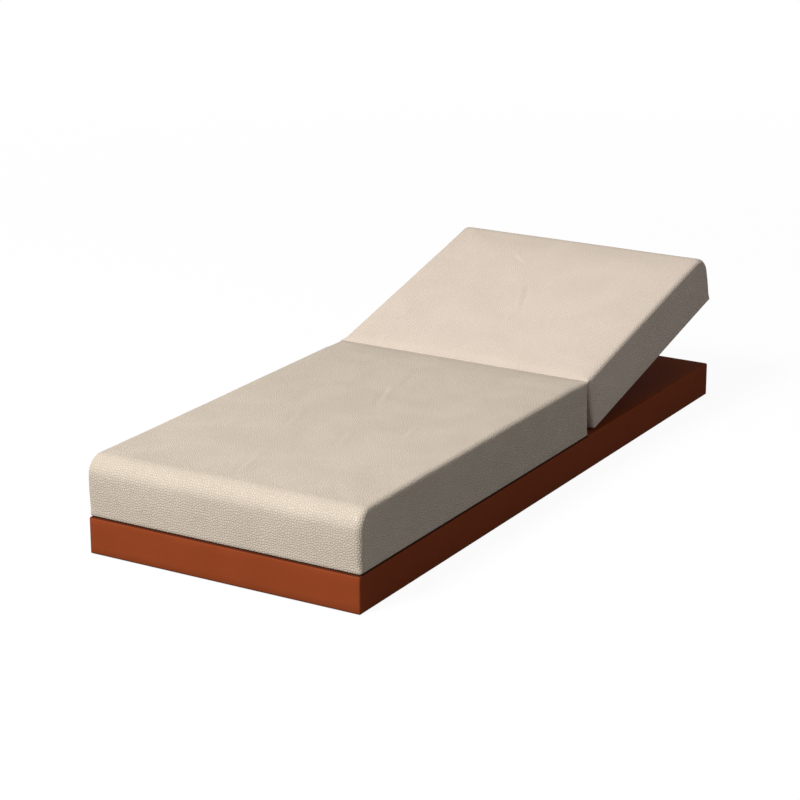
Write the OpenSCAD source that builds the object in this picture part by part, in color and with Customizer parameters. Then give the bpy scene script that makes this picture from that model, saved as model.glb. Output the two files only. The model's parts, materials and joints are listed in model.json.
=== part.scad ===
// Spa relaxation lounger: a low padded plinth, a fixed seat cushion and a backrest cushion
// that tilts about hidden hinges and is held by two self-locking stays.
// X runs across the lounger, Y from the foot end to the head end and Z up.
// The origin is on the floor, under the middle of the plinth.

/* [Plinth] */
// Length of the plinth, foot end to head end
plinth_l = 2000; // [1900:10:2200]
// Width of the plinth
plinth_w = 800; // [740:10:1000]
// Height of the upholstered body of the plinth
plinth_h = 97; // [92:1:130]
// Gap between the plinth's underside and the floor
floor_gap = 3; // [2:0.5:6]
// Radius of the plinth's upholstered top and corner edges
plinth_edge_r = 10; // [6:1:14]
// Thickness of the plinth's leatherette
plinth_skin_t = 2; // [1.5:0.5:3]
// Width of the hem that is stapled under the plinth
plinth_hem_w = 25; // [15:1:40]

/* [Carcass] */
// Thickness of the plywood deck
deck_t = 12; // [9:1:18]
// Thickness of the side, foot and head rails
rail_t = 20; // [16:1:25]
// Thickness of the cross rails
cross_rail_t = 24; // [18:1:30]
// Distance of the outer cross rails from the plinth's ends
end_rail_in = 120; // [80:5:160]
// Side of the glue blocks in the corners
corner_block_s = 50; // [40:1:70]
// Radius of the floor glides
glide_r = 16; // [12:1:20]
// Distance of the side glides from the plinth's sides
glide_in = 100; // [70:5:160]
// Distance of the middle glides' rail from the stays' rail
glide_rail_gap = 88.5; // [60:0.5:160]

/* [Cushions] */
// Length of the seat cushion
seat_l = 1201; // [1100:1:1300]
// Height of the cushions above the plinth
cushion_h = 157; // [145:1:170]
// How far the cushions stand back from the plinth's ends
cushion_inset = 5; // [0:1:15]
// Radius of the round top edge at the foot and head ends
end_round_r = 47; // [30:1:60]
// Radius of the top edges along the sides
side_round_r = 12; // [6:1:20]
// Radius of the lower edge, where the cover turns under
hem_round_r = 6; // [4:0.5:8]
// Radius of the upright corners
corner_round_r = 10; // [6:1:20]
// How far the top swells above its edges in the middle
crown_h = 3; // [0:0.5:8]
// How far the sides swell at half height
side_swell = 2; // [0:0.5:5]
// Thickness of the cover with its wadding at the sides
side_wall = 10; // [8:0.5:14]
// Thickness of the cover with its wadding on top
top_wall = 6; // [5:0.5:10]
// Thickness of the cushions' plywood boards
board_t = 15; // [12:1:18]
// Thickness of the cloth under the backrest
dust_cloth_t = 1.2; // [0.6:0.1:2]

/* [Backrest] */
// Angle of the backrest above flat, as it stands
rest_angle = 14; // [0:1:40]
// Steepest angle of the backrest
steepest_angle = 45; // [30:1:45]
// Gap between the two cushions where they meet
joint_gap = 1.6; // [1:0.1:3]
// Height of the flat backrest above the plinth
lie_gap = 2.3; // [1.5:0.1:4]
// Radius of the felt pads that the flat backrest lies on
felt_r = 15; // [10:1:25]
// Space left between the felt pads and the flat backrest
felt_clear = 0.3; // [0.1:0.1:0.5]

/* [Hinges] */
// Depth of the hinge axis under the cushions' tops
axis_drop = 12; // [11:0.5:16]
// Distance of the hinge plates' middle from the cushions' sides
hinge_in = 63; // [55:1:100]
// Thickness of the hinge plates
plate_t = 6; // [4:0.5:8]
// Radius of the hinge pins
hinge_pin_r = 4; // [3:0.5:4.5]
// Radius of the eyes round the hinge pins
hinge_eye_r = 8; // [7.5:0.5:9]
// Width of the hinge plates, along the lounger
plate_w = 28; // [24:1:36]
// Thickness of the washers between the plates
washer_t = 1; // [0.5:0.1:2]
// Radial clearance of a pin in its bore
pin_fit = 0.05; // [0.02:0.01:0.1]

/* [Stays] */
// Distance of each stay from the lounger's middle
stay_x = 120; // [90:1:150]
// Height of the stays' lower pivots above the floor
stay_foot_z = 30; // [28:1:34]
// Distance of the lower pivots from the hinge axis, towards the foot end
stay_reach = 82; // [78:1:84]
// Depth of the stays' upper pivots under the backrest's board
stay_ear_drop = 48; // [46:0.5:52]
// Outer radius of the stays' tubes
tube_r = 11; // [10:0.5:12]
// Radius of the stays' rods
rod_r = 7; // [6:0.5:8]
// Radius of the stays' pins
stay_pin_r = 5; // [4:0.5:6]
// Distance between the rods' locking grooves
notch_pitch = 14; // [12:1:18]
// Depth of the locking grooves
notch_d = 1.2; // [0.8:0.1:2]

/* [Hidden] */
$fn = 48;

// Overrun of a cut past the face that it opens
over = 1;
// Seat clearance between pieces that are put together by hand
seat_fit = 0.3;

// Levels
plinth_top = floor_gap + plinth_h;
hem_top = floor_gap + plinth_skin_t;
deck_top = plinth_top - plinth_skin_t;
rail_top = deck_top - deck_t;
rail_h = rail_top - hem_top;
cushion_top = plinth_top + cushion_h;
axis_z = cushion_top - axis_drop;
foot_y = -plinth_l/2 + cushion_inset;
head_y = plinth_l/2 - cushion_inset;
joint_y = foot_y + seat_l;
back_l = head_y - joint_y;
cushion_w = plinth_w;
back_h = cushion_h - lie_gap;
back_floor = plinth_top + lie_gap;
back_board_z = back_floor + dust_cloth_t;
inner_w = plinth_w - 2*plinth_skin_t;
inner_l = plinth_l - 2*plinth_skin_t;
inner_chamfer = plinth_edge_r - plinth_skin_t;

// Stays: both pivots lie on one circle round the hinge axis, so a stay turns by half the angle
stay_foot_y = joint_y - stay_reach;
stay_circle = norm([stay_reach, axis_z - stay_foot_z]);
stay_head_drop = axis_z - back_board_z + stay_ear_drop;
stay_head_reach = sqrt(stay_circle*stay_circle - stay_head_drop*stay_head_drop);
stay_head_y = joint_y + stay_head_reach;
head_angle = rest_angle - atan2(stay_head_drop, stay_head_reach);
head_rest_y = joint_y + stay_circle*cos(head_angle);
head_rest_z = axis_z + stay_circle*sin(head_angle);
stay_lift = atan2(head_rest_z - stay_foot_z, head_rest_y - stay_foot_y);
stay_eye_wall = 6.5;
stay_eye_r = stay_pin_r + stay_eye_wall;
stay_eye_w = 16;
stay_neck_step = 1;
stay_neck_r = stay_eye_w/2 - stay_neck_step;
stay_pin_cap_t = 2.5;
stay_pin_cap_rim = 2;
stay_spare = 8;
ear_t = 4;
ear_gap = 0.5;
bracket_t = 4;
bracket_flange_w = 10;
bracket_half_w = stay_eye_w/2 + ear_gap + ear_t + bracket_flange_w;
foot_bracket_l = 46;
head_bracket_l = 66;
stay_rail_y = stay_foot_y - stay_eye_r - stay_spare - bracket_t - cross_rail_t/2;

// Detents, collars and the lengths of the stays
collar_sleeve_l = 14;
collar_wall = 2;
detent_wire_r = 1;
detent_mid_r = rod_r + seat_fit + detent_wire_r;
collar_bore_r = rod_r + seat_fit;
collar_out_r = tube_r + collar_wall;
chamber_l = 2*detent_wire_r + 2*pin_fit;
chamber_r = detent_mid_r + detent_wire_r + pin_fit;
flat_lift = 180 - atan2(stay_head_drop, stay_head_reach) - atan2(axis_z - stay_foot_z, stay_reach);
stay_short = 2*stay_circle*sin(flat_lift/2);
tube_plug_l = 9;
tube_bore_in = stay_eye_r + tube_plug_l;
tube_l = stay_short - stay_eye_r - chamber_l - collar_wall - stay_spare;
rod_l = stay_short - tube_bore_in - stay_spare/2;
notch_end_l = 20;
notch_plain_l = 60;

// Wells in the deck, in which the stays and their brackets sink when the backrest lies flat
// Their rear edge clears the brackets' ears as these swing up through the deck
well_spare = 4;
well_half_w = bracket_half_w + well_spare;
well_front_in = 20;
well_front_y = joint_y - well_front_in;
ear_swing_r = norm([stay_head_reach + stay_eye_r, stay_head_drop + stay_eye_r]);
well_rear_y = joint_y + sqrt(pow(ear_swing_r, 2) - pow(axis_z - plinth_top, 2)) + well_spare;

// Cross rails
head_rail_gap = 30;
end_rail_y = plinth_l/2 - end_rail_in;
head_rail_y = well_rear_y + cross_rail_t/2 + head_rail_gap;
glide_rail_y = stay_rail_y - glide_rail_gap;
mid_rail_y = (glide_rail_y - end_rail_y)/2;
rail_ys = [-end_rail_y, mid_rail_y, glide_rail_y, head_rail_y, end_rail_y];

// Screws of the brackets
bracket_screw_r = 2;
bracket_screw_l = 12;
bracket_head_r = 4;
bracket_head_h = 2.2;
bracket_screw_x = bracket_half_w - bracket_flange_w/2;
bracket_screw_end = 7;

// Hinge plates, pockets and fastenings
hinge_x = cushion_w/2 - hinge_in;
post_x = hinge_x - plate_t/2 - washer_t/2;
arm_x = hinge_x + plate_t/2 + washer_t/2;
pocket_side_spare = 9;
pocket_end_spare = 6;
pocket_top_spare = 1;
pocket_half_w = plate_t + pocket_side_spare;
pocket_top = axis_z + hinge_eye_r + pocket_top_spare;
pocket_seat_y = joint_y - plate_w - pocket_end_spare;
post_foot_gap = 17;
post_foot_z = floor_gap + post_foot_gap;
block_w = 50;
block_l = 56;
post_bolt_r = 4;
post_bolt_end = 15;
post_bolt_pitch = 30;
post_bolt_zs = [for (k = [0, 1]) post_foot_z + post_bolt_end + k*post_bolt_pitch];
arm_foot_t = 5;
arm_foot_l = 70;
arm_foot_w = 40;
arm_foot_y = joint_y + joint_gap + side_wall;
arm_bolt_r = 3;
arm_bolt_in = 13;
arm_bolt_end = 18;
arm_bolt_x = arm_x + plate_t/2 - arm_foot_w + arm_bolt_in;
arm_bolt_ys = [arm_foot_y + arm_bolt_end, arm_foot_y + arm_foot_l - arm_bolt_end];
bush_t = 1.5;
clip_t = 1.2;
pin_head_t = 3;
pin_head_rim = 3;
pin_head_r = hinge_pin_r + pin_head_rim;
pin_tail_l = 2;

// Screws, bolts and glides
screw_r = 2;
screw_head_r = 4.2;
screw_head_h = 2.4;
screw_l = 40;
seat_bolt_r = 4;
seat_bolt_in = 150;
seat_bolt_x = cushion_w/2 - seat_bolt_in;
seat_bolt_ys = [foot_y + seat_l/4, foot_y + seat_l*3/4];
bolt_head_h = 5.3;
tee_flange_r = 11;
tee_flange_t = 1.5;
tee_barrel_r = 5.2;
tee_barrel_l = 10;
felt_side_gap = 20;
felt_front_gap = 60;
felt_rear_in = 90;
felt_x = stay_x + well_half_w + felt_r + felt_side_gap;
felt_ys = [well_rear_y + felt_front_gap, head_y - felt_rear_in];
glide_x = plinth_w/2 - glide_in;
glide_h = hem_top;
glide_nail_r = 1.5;
glide_nail_l = 18;

// Cushion form: the steps of its skin, and shares of its height where the sides are drawn
round_steps = 8;
plain_x_steps = 6;
plain_y_steps = 10;
corner_angles = [45, 67.5, 90];
height_shares = [0.16, 0.42];

leatherette_beige = [0.79, 0.72, 0.65];
leatherette_terracotta = [0.56, 0.26, 0.14];
plywood = [0.82, 0.69, 0.50];
pine = [0.86, 0.73, 0.53];
foam_white = [0.93, 0.91, 0.84];
steel = [0.62, 0.63, 0.65];
black_steel = [0.20, 0.20, 0.21];
zinc = [0.75, 0.76, 0.78];
nylon = [0.15, 0.15, 0.16];

// Stands the backrest's pieces, which are drawn lying flat, at their angle
module tilted() {
    translate([0, joint_y, axis_z]) rotate([rest_angle, 0, 0]) translate([0, -joint_y, -axis_z]) children();
}

// Repeats a piece on the left and on the right
module both_sides() {
    children();
    mirror([1, 0, 0]) children();
}

// Round bar along X, from its left end
module bar_x(r, l) {
    rotate([0, 90, 0]) cylinder(r = r, h = l);
}

// Turns a piece that was drawn along Z to lie along Y
module along_y() {
    rotate([-90, 0, 0]) children();
}

// How far a round edge of radius r has drawn in at the distance d from its face
function drawn_in(r, d) = d >= r ? 0 : r - sqrt(r*r - (r - d)*(r - d));

// Places along an edge: round corner, even stretch, round corner
function edge_stops(low, high, steps) = concat(
    [for (a = corner_angles) low + corner_round_r*(1 - cos(a))],
    [for (k = [1:steps - 1]) low + corner_round_r + (high - low - 2*corner_round_r)*k/steps],
    [for (k = [len(corner_angles) - 1:-1:0]) high - corner_round_r*(1 - cos(corner_angles[k]))]);

// How far the corner rounding has drawn in at each of these places
function corner_draws(steps) = concat(
    [for (a = corner_angles) corner_round_r*(1 - sin(a))],
    [for (k = [1:steps - 1]) 0],
    [for (k = [len(corner_angles) - 1:-1:0]) corner_round_r*(1 - sin(corner_angles[k]))]);

nx = plain_x_steps + 2*(len(corner_angles) - 1);
ny = plain_y_steps + 2*(len(corner_angles) - 1);
ring_n = 2*(nx + ny);

// Lattice place of a point of the ring, and the other way round
function ring_place(k) =
    k < nx ? [k, 0] :
    k < nx + ny ? [nx, k - nx] :
    k < 2*nx + ny ? [2*nx + ny - k, ny] : [0, ring_n - k];
function ring_index(i, j) =
    j == 0 ? i :
    i == nx ? nx + j :
    j == ny ? 2*nx + ny - i : (ring_n - j) % ring_n;

// A point of the cushion at lattice place (i, j) and height z. The round end is at y = 0,
// and the end at y = l meets the other cushion: above the hinge axis it slopes back,
// by half of the steepest angle, so that the tops have room to turn.
function half_width(z, h) = cushion_w/2 + side_swell*sin(180*z/h)
    - drawn_in(side_round_r, h - z) - drawn_in(hem_round_r, z);
function round_end(z, h) = drawn_in(end_round_r, h - z) + drawn_in(hem_round_r, z)
    - side_swell*sin(180*z/h)/2;
function joint_end(z, l, h) = l - joint_gap/2 - drawn_in(hem_round_r, z)
    - max(0, z - h + axis_drop)*tan(steepest_angle/2);
function skin_point(i, j, z, l, h) =
    let (w = half_width(z, h), y0 = round_end(z, h), y1 = joint_end(z, l, h),
        xs = edge_stops(-w, w, plain_x_steps), ys = edge_stops(y0, y1, plain_y_steps),
        dx = corner_draws(plain_x_steps), dy = corner_draws(plain_y_steps))
    [i == 0 ? -w + dy[j] : i == nx ? w - dy[j] : xs[i],
     j == 0 ? y0 + dx[i] : j == ny ? y1 - dx[i] : ys[j],
     z];
function crown_at(i, j) = crown_h*(1 - pow(2*i/nx - 1, 4))*(1 - pow(2*j/ny - 1, 4));

// Closed cushion with its crown, round end, swelling sides and turned-under lower edge
module cushion_form(l, h) {
    zs = concat(
        [0, hem_round_r*0.3, hem_round_r],
        [for (s = height_shares) s*h],
        [for (k = [0:round_steps]) h - end_round_r*(1 - sin(90*k/round_steps))]);
    levels = len(zs);
    rings = [for (z = zs) for (k = [0:ring_n - 1])
        let (p = ring_place(k)) skin_point(p[0], p[1], z, l, h)];
    top = [for (i = [1:nx - 1]) for (j = [1:ny - 1])
        skin_point(i, j, h, l, h) + [0, 0, crown_at(i, j)]];
    bottom = [for (i = [1:nx - 1]) for (j = [1:ny - 1]) skin_point(i, j, 0, l, h)];
    top_base = levels*ring_n;
    bottom_base = top_base + len(top);
    function at(i, j, base, ring) = i == 0 || i == nx || j == 0 || j == ny
        ? ring*ring_n + ring_index(i, j)
        : base + (i - 1)*(ny - 1) + j - 1;
    sides = [for (v = [0:levels - 2]) for (k = [0:ring_n - 1])
        let (a = v*ring_n + k, b = v*ring_n + (k + 1) % ring_n, c = b + ring_n, d = a + ring_n)
        each [[a, d, c], [a, c, b]]];
    top_faces = [for (i = [0:nx - 1]) for (j = [0:ny - 1])
        let (a = at(i, j, top_base, levels - 1), b = at(i, j + 1, top_base, levels - 1),
            c = at(i + 1, j + 1, top_base, levels - 1), d = at(i + 1, j, top_base, levels - 1))
        each [[a, b, c], [a, c, d]]];
    bottom_faces = [for (i = [0:nx - 1]) for (j = [0:ny - 1])
        let (a = at(i, j, bottom_base, 0), b = at(i, j + 1, bottom_base, 0),
            c = at(i + 1, j + 1, bottom_base, 0), d = at(i + 1, j, bottom_base, 0))
        each [[a, c, b], [a, d, c]]];
    polyhedron(points = concat(rings, top, bottom), faces = concat(sides, top_faces, bottom_faces));
}

// Block with one round top edge, which fills a cushion. Its round end is at y = 0.
module filling(l, w, z_low, z_high, r) {
    round_edge = [for (k = [0:round_steps]) let (a = 90*k/round_steps)
        [r - r*sin(a), z_high - r + r*cos(a)]];
    translate([-w/2, 0, 0]) rotate([90, 0, 90]) linear_extrude(w)
        polygon(concat([[l, z_low], [l, z_high]], round_edge, [[0, z_low]]));
}

// Plan of a cushion's board, with its round end at y = 0
module board(l, z, t) {
    translate([-cushion_w/2 + side_wall, side_wall, z])
        cube([cushion_w - 2*side_wall, l - 2*side_wall, t]);
}

// Pocket beside each hinge, from its lowest to its highest point
module hinge_pocket(y0, y1, z0) {
    both_sides() translate([hinge_x - pocket_half_w, y0, z0])
        cube([2*pocket_half_w, y1 - y0, pocket_top - z0]);
}

// Plinth

// Block with round top edges and round upright corners
module padded_block(l, w, z_low, z_high, r) {
    hull() {
        for (x = [-w/2 + r, w/2 - r]) for (y = [-l/2 + r, l/2 - r]) {
            translate([x, y, z_low]) cylinder(r = r, h = z_high - r - z_low, $fn = 32);
            translate([x, y, z_high - r]) sphere(r = r, $fn = 32);
        }
        translate([-w/2 + r, -l/2 + r, z_high - r]) cube([w - 2*r, l - 2*r, r]);
    }
}

// Space inside the plinth's leatherette, with its edges taken off
module carcass_space() {
    c = inner_chamfer;
    w = inner_w/2;
    l = inner_l/2;
    intersection() {
        translate([0, l, 0]) rotate([90, 0, 0]) linear_extrude(inner_l) polygon([
            [-w, hem_top], [w, hem_top], [w, deck_top - c], [w - c, deck_top],
            [-w + c, deck_top], [-w, deck_top - c]]);
        translate([-w, 0, 0]) rotate([90, 0, 90]) linear_extrude(inner_w) polygon([
            [-l, hem_top], [l, hem_top], [l, deck_top - c], [l - c, deck_top],
            [-l + c, deck_top], [-l, deck_top - c]]);
        translate([0, 0, hem_top]) linear_extrude(deck_top - hem_top) polygon([
            [-w + c, -l], [w - c, -l], [w, -l + c], [w, l - c],
            [w - c, l], [-w + c, l], [-w, l - c], [-w, -l + c]]);
    }
}

// Wells for the stays and slots for the hinge posts, through the deck and its cover
module deck_openings() {
    both_sides() {
        translate([stay_x - well_half_w, well_front_y, rail_top - over])
            cube([2*well_half_w, well_rear_y - well_front_y, deck_t + plinth_skin_t + 2*over]);
        translate([post_x - plate_t/2 - seat_fit, joint_y - plate_w - seat_fit, rail_top - over])
            cube([plate_t + 2*seat_fit, plate_w + seat_fit, deck_t + plinth_skin_t + 2*over]);
        for (y = seat_bolt_ys) translate([seat_bolt_x, y, rail_top - over])
            cylinder(r = seat_bolt_r + seat_fit, h = deck_t + plinth_skin_t + 2*over);
    }
}

module base_cover() {
    open_w = plinth_w - 2*plinth_hem_w;
    open_l = plinth_l - 2*plinth_hem_w;
    color(leatherette_terracotta) difference() {
        padded_block(plinth_l, plinth_w, floor_gap, plinth_top, plinth_edge_r);
        padded_block(inner_l, inner_w, hem_top, deck_top, inner_chamfer);
        translate([-open_w/2, -open_l/2, floor_gap - over])
            cube([open_w, open_l, plinth_skin_t + 2*over]);
        deck_openings();
    }
}

// Places of the deck's screws, along the rails and over the cross rails
deck_screw_side_x = inner_w/2 - inner_chamfer - screw_head_r - seat_fit;
deck_screw_well_gap = 40;
deck_screw_mid_x = stay_x + well_half_w + deck_screw_well_gap;
side_screw_shares = [-0.8, -0.4, 0, 0.4, 0.8];
deck_screw_places = concat(
    [for (y = rail_ys) for (x = [-deck_screw_mid_x, deck_screw_mid_x]) [x, y]],
    [for (s = side_screw_shares) for (x = [-deck_screw_side_x, deck_screw_side_x]) [x, s*end_rail_y]]);

// Countersunk screw, or with a clearance the hole that it needs
module deck_screw(fit) {
    translate([0, 0, deck_top - screw_l]) cylinder(r = screw_r + fit, h = screw_l, $fn = 24);
    translate([0, 0, deck_top - screw_head_h])
        cylinder(r1 = screw_r + fit, r2 = screw_head_r + fit, h = screw_head_h, $fn = 24);
}

module deck_screw_holes() {
    for (p = deck_screw_places) translate([p[0], p[1], 0]) deck_screw(pin_fit);
}

module deck_screws() {
    color(zinc) for (p = deck_screw_places) translate([p[0], p[1], 0]) deck_screw(0);
}

module deck_board() {
    color(plywood) difference() {
        intersection() {
            carcass_space();
            translate([-inner_w/2, -inner_l/2, rail_top]) cube([inner_w, inner_l, deck_t]);
        }
        deck_openings();
        deck_screw_holes();
    }
}

module side_rail(x) {
    color(pine) difference() {
        intersection() {
            carcass_space();
            translate([x, -inner_l/2, hem_top]) cube([rail_t, inner_l, rail_h]);
        }
        deck_screw_holes();
    }
}
module side_rail_left() { side_rail(-inner_w/2); }
module side_rail_right() { side_rail(inner_w/2 - rail_t); }

module end_rail(y) {
    color(pine) translate([-inner_w/2 + rail_t, y, hem_top]) cube([inner_w - 2*rail_t, rail_t, rail_h]);
}
module foot_rail() { end_rail(-inner_l/2); }
module head_rail() { end_rail(inner_l/2 - rail_t); }

// Places of the glides on the cross rails
glide_places = [for (y = [-end_rail_y, glide_rail_y, end_rail_y]) for (x = [-glide_x, 0, glide_x]) [x, y]];

module cross_rail(y) {
    translate([-inner_w/2 + rail_t, y - cross_rail_t/2, hem_top])
        cube([inner_w - 2*rail_t, cross_rail_t, rail_h]);
}

module cross_rails() {
    color(pine) difference() {
        for (y = rail_ys) cross_rail(y);
        deck_screw_holes();
        for (p = glide_places) translate([p[0], p[1], hem_top - over])
            cylinder(r = glide_nail_r + pin_fit, h = glide_nail_l + over + pin_fit, $fn = 24);
    }
}

module stay_rail() {
    color(pine) difference() {
        cross_rail(stay_rail_y);
        at_stay_feet() bracket_screws(foot_bracket_l/2 - bracket_screw_end, pin_fit);
    }
}

module corner_blocks() {
    color(pine) for (x = [-inner_w/2 + rail_t, inner_w/2 - rail_t - corner_block_s])
        for (y = [-inner_l/2 + rail_t, inner_l/2 - rail_t - corner_block_s])
            translate([x, y, hem_top]) cube([corner_block_s, corner_block_s, rail_h]);
}

// Nylon disc with a nail through its middle, moulded in
module glides() {
    color(nylon) for (p = glide_places) translate([p[0], p[1], 0]) {
        cylinder(r = glide_r, h = glide_h);
        translate([0, 0, glide_h]) cylinder(r = glide_nail_r, h = glide_nail_l, $fn = 24);
    }
}

// Hinges

// Bolts through the block and the post, or with a clearance their holes
module post_bolt_shanks(fit) {
    both_sides() for (z = post_bolt_zs)
        translate([post_x - plate_t/2 - block_w - over, joint_y - plate_w/2, z])
            bar_x(post_bolt_r + fit, block_w + plate_t + 2*over);
}

module hinge_blocks() {
    color(pine) difference() {
        both_sides() translate([post_x - plate_t/2 - block_w, joint_y - plate_w/2 - block_l/2, hem_top])
            cube([block_w, block_l, rail_h]);
        post_bolt_shanks(pin_fit);
    }
}

module hinge_post() {
    color(black_steel) difference() {
        translate([post_x - plate_t/2, 0, 0]) union() {
            translate([0, joint_y - plate_w, post_foot_z])
                cube([plate_t, plate_w - joint_gap/2, axis_z - post_foot_z]);
            translate([0, joint_y, axis_z]) bar_x(hinge_eye_r, plate_t);
        }
        translate([post_x - plate_t, joint_y, axis_z]) bar_x(hinge_pin_r + pin_fit, 2*plate_t);
        post_bolt_shanks(pin_fit);
    }
}
module hinge_post_right() { hinge_post(); }
module hinge_post_left() { mirror([1, 0, 0]) hinge_post(); }

module hinge_post_bolts() {
    head_x = post_x + plate_t/2;
    nut_x = post_x - plate_t/2 - block_w;
    color(zinc) both_sides() for (z = post_bolt_zs) translate([0, joint_y - plate_w/2, z]) {
        translate([nut_x - bolt_head_h, 0, 0]) bar_x(post_bolt_r, head_x - nut_x + bolt_head_h);
        translate([head_x, 0, 0]) rotate([0, 90, 0]) cylinder(r = 1.85*post_bolt_r, h = bolt_head_h, $fn = 6);
        translate([nut_x - bolt_head_h, 0, 0]) rotate([0, 90, 0])
            cylinder(r = 1.85*post_bolt_r, h = bolt_head_h, $fn = 6);
    }
}

// Headed pin from the inner side, with a groove for its clip past the outer plate
pin_low_x = post_x - plate_t/2 - pin_head_t;
clip_x = arm_x + plate_t/2 + pin_fit;
pin_high_x = clip_x + clip_t + pin_fit + pin_tail_l;

module hinge_pins() {
    color(steel) both_sides() translate([0, joint_y, axis_z]) difference() {
        union() {
            translate([pin_low_x, 0, 0]) bar_x(pin_head_r, pin_head_t);
            translate([pin_low_x, 0, 0]) bar_x(hinge_pin_r, pin_high_x - pin_low_x);
        }
        translate([clip_x - pin_fit, 0, 0]) difference() {
            bar_x(pin_head_r, clip_t + 2*pin_fit);
            translate([-over, 0, 0]) bar_x(hinge_pin_r*0.8, clip_t + 2*over + 2*pin_fit);
        }
    }
}

module hinge_clips() {
    color(black_steel) both_sides() translate([clip_x, joint_y, axis_z]) difference() {
        bar_x(hinge_pin_r*1.6, clip_t);
        translate([-over, 0, 0]) bar_x(hinge_pin_r*0.8 + pin_fit, clip_t + 2*over);
        translate([-over, -hinge_pin_r*0.6, 0]) cube([clip_t + 2*over, hinge_pin_r*1.2, hinge_pin_r*2]);
    }
}

module hinge_washers() {
    color(zinc) both_sides() translate([post_x + plate_t/2 + pin_fit/2, joint_y, axis_z]) difference() {
        bar_x(hinge_eye_r, washer_t - pin_fit);
        translate([-over, 0, 0]) bar_x(hinge_pin_r + pin_fit, washer_t + 2*over);
    }
}

// Drawn with the backrest lying flat
module hinge_arm() {
    color(black_steel) tilted() difference() {
        union() {
            translate([arm_x - plate_t/2, joint_y, axis_z]) bar_x(hinge_eye_r, plate_t);
            translate([arm_x - plate_t/2, joint_y + joint_gap/2, back_board_z + board_t])
                cube([plate_t, plate_w + plate_t, axis_z - back_board_z - board_t]);
            translate([arm_x + plate_t/2 - arm_foot_w, arm_foot_y, back_board_z + board_t])
                cube([arm_foot_w, arm_foot_l, arm_foot_t]);
        }
        translate([arm_x - plate_t, joint_y, axis_z]) bar_x(hinge_pin_r + bush_t + 2*pin_fit, 2*plate_t);
        arm_bolt_shanks(pin_fit);
    }
}
module hinge_arm_right() { hinge_arm(); }
module hinge_arm_left() { mirror([1, 0, 0]) hinge_arm(); }

module hinge_bushes() {
    color([0.72, 0.55, 0.28]) both_sides() translate([arm_x - plate_t/2, joint_y, axis_z]) difference() {
        bar_x(hinge_pin_r + bush_t + pin_fit, plate_t);
        translate([-over, 0, 0]) bar_x(hinge_pin_r + pin_fit, plate_t + 2*over);
    }
}

module arm_bolt_shanks(fit) {
    both_sides() for (y = arm_bolt_ys) translate([arm_bolt_x, y, back_board_z - over])
        cylinder(r = arm_bolt_r + fit, h = board_t + arm_foot_t + 2*over, $fn = 32);
}

// Countersunk head of an arm's bolt, in the underside of the board
module arm_bolt_heads(fit) {
    both_sides() for (y = arm_bolt_ys) translate([arm_bolt_x, y, back_board_z])
        cylinder(r1 = 2*arm_bolt_r + fit, r2 = arm_bolt_r + fit, h = arm_bolt_r, $fn = 32);
}

module hinge_arm_bolts() {
    nut_z = back_board_z + board_t + arm_foot_t;
    nut_h = 1.6*arm_bolt_r;
    color(zinc) tilted() {
        arm_bolt_heads(0);
        both_sides() for (y = arm_bolt_ys) translate([arm_bolt_x, y, 0]) {
            translate([0, 0, back_board_z])
                cylinder(r = arm_bolt_r, h = nut_z + nut_h - back_board_z, $fn = 32);
            translate([0, 0, nut_z]) cylinder(r = 1.85*arm_bolt_r, h = nut_h, $fn = 6);
        }
    }
}

// Stays

// Two ears on a plate. The plate lies at z = 0, its ears stand down to the pivot at z = -drop.
module eared_bracket(plate_l, drop) {
    difference() {
        union() {
            translate([-bracket_half_w, -plate_l/2, -bracket_t]) cube([2*bracket_half_w, plate_l, bracket_t]);
            for (x = [-stay_eye_w/2 - ear_gap - ear_t, stay_eye_w/2 + ear_gap]) translate([x, 0, 0]) {
                translate([0, -stay_eye_r, -drop]) cube([ear_t, 2*stay_eye_r, drop - bracket_t]);
                translate([0, 0, -drop]) bar_x(stay_eye_r, ear_t);
            }
        }
        translate([-bracket_half_w, 0, -drop]) bar_x(stay_pin_r + pin_fit, 2*bracket_half_w);
        bracket_screws(plate_l/2 - bracket_screw_end, pin_fit);
    }
}

// Four screws of a bracket, whose plate lies under z = 0, or with a clearance their holes
module bracket_screws(y, fit) {
    for (x = [-bracket_screw_x, bracket_screw_x]) for (v = [-y, y]) translate([x, v, 0]) {
        translate([0, 0, -bracket_t - fit])
            cylinder(r = bracket_screw_r + fit, h = bracket_t + bracket_screw_l + 2*fit, $fn = 24);
        translate([0, 0, -bracket_t - bracket_head_h])
            cylinder(r = bracket_head_r, h = bracket_head_h, $fn = 24);
    }
}

// Headed pin through the ears, with its turned-over end
module stay_pin() {
    reach = stay_eye_w/2 + ear_gap + ear_t;
    translate([-reach - pin_fit, 0, 0]) bar_x(stay_pin_r, 2*reach + 2*pin_fit);
    for (x = [-reach - pin_fit - stay_pin_cap_t, reach + pin_fit])
        translate([x, 0, 0]) bar_x(stay_pin_r + stay_pin_cap_rim, stay_pin_cap_t);
}

// Puts a bracket's piece on the rear face of the stay rail, or under the backrest's board
stay_rail_face_y = stay_rail_y + cross_rail_t/2;
module at_stay_feet() {
    both_sides() translate([stay_x, stay_rail_face_y, stay_foot_z]) rotate([90, 0, 0]) children();
}
module at_stay_heads() {
    both_sides() translate([stay_x, stay_head_y, back_board_z]) children();
}

module stay_foot_brackets() {
    color(black_steel) at_stay_feet() eared_bracket(foot_bracket_l, stay_foot_y - stay_rail_face_y);
}

module stay_foot_screws() {
    color(zinc) at_stay_feet() bracket_screws(foot_bracket_l/2 - bracket_screw_end, 0);
}

module stay_foot_pins() {
    color(steel) both_sides() translate([stay_x, stay_foot_y, stay_foot_z]) stay_pin();
}

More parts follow.
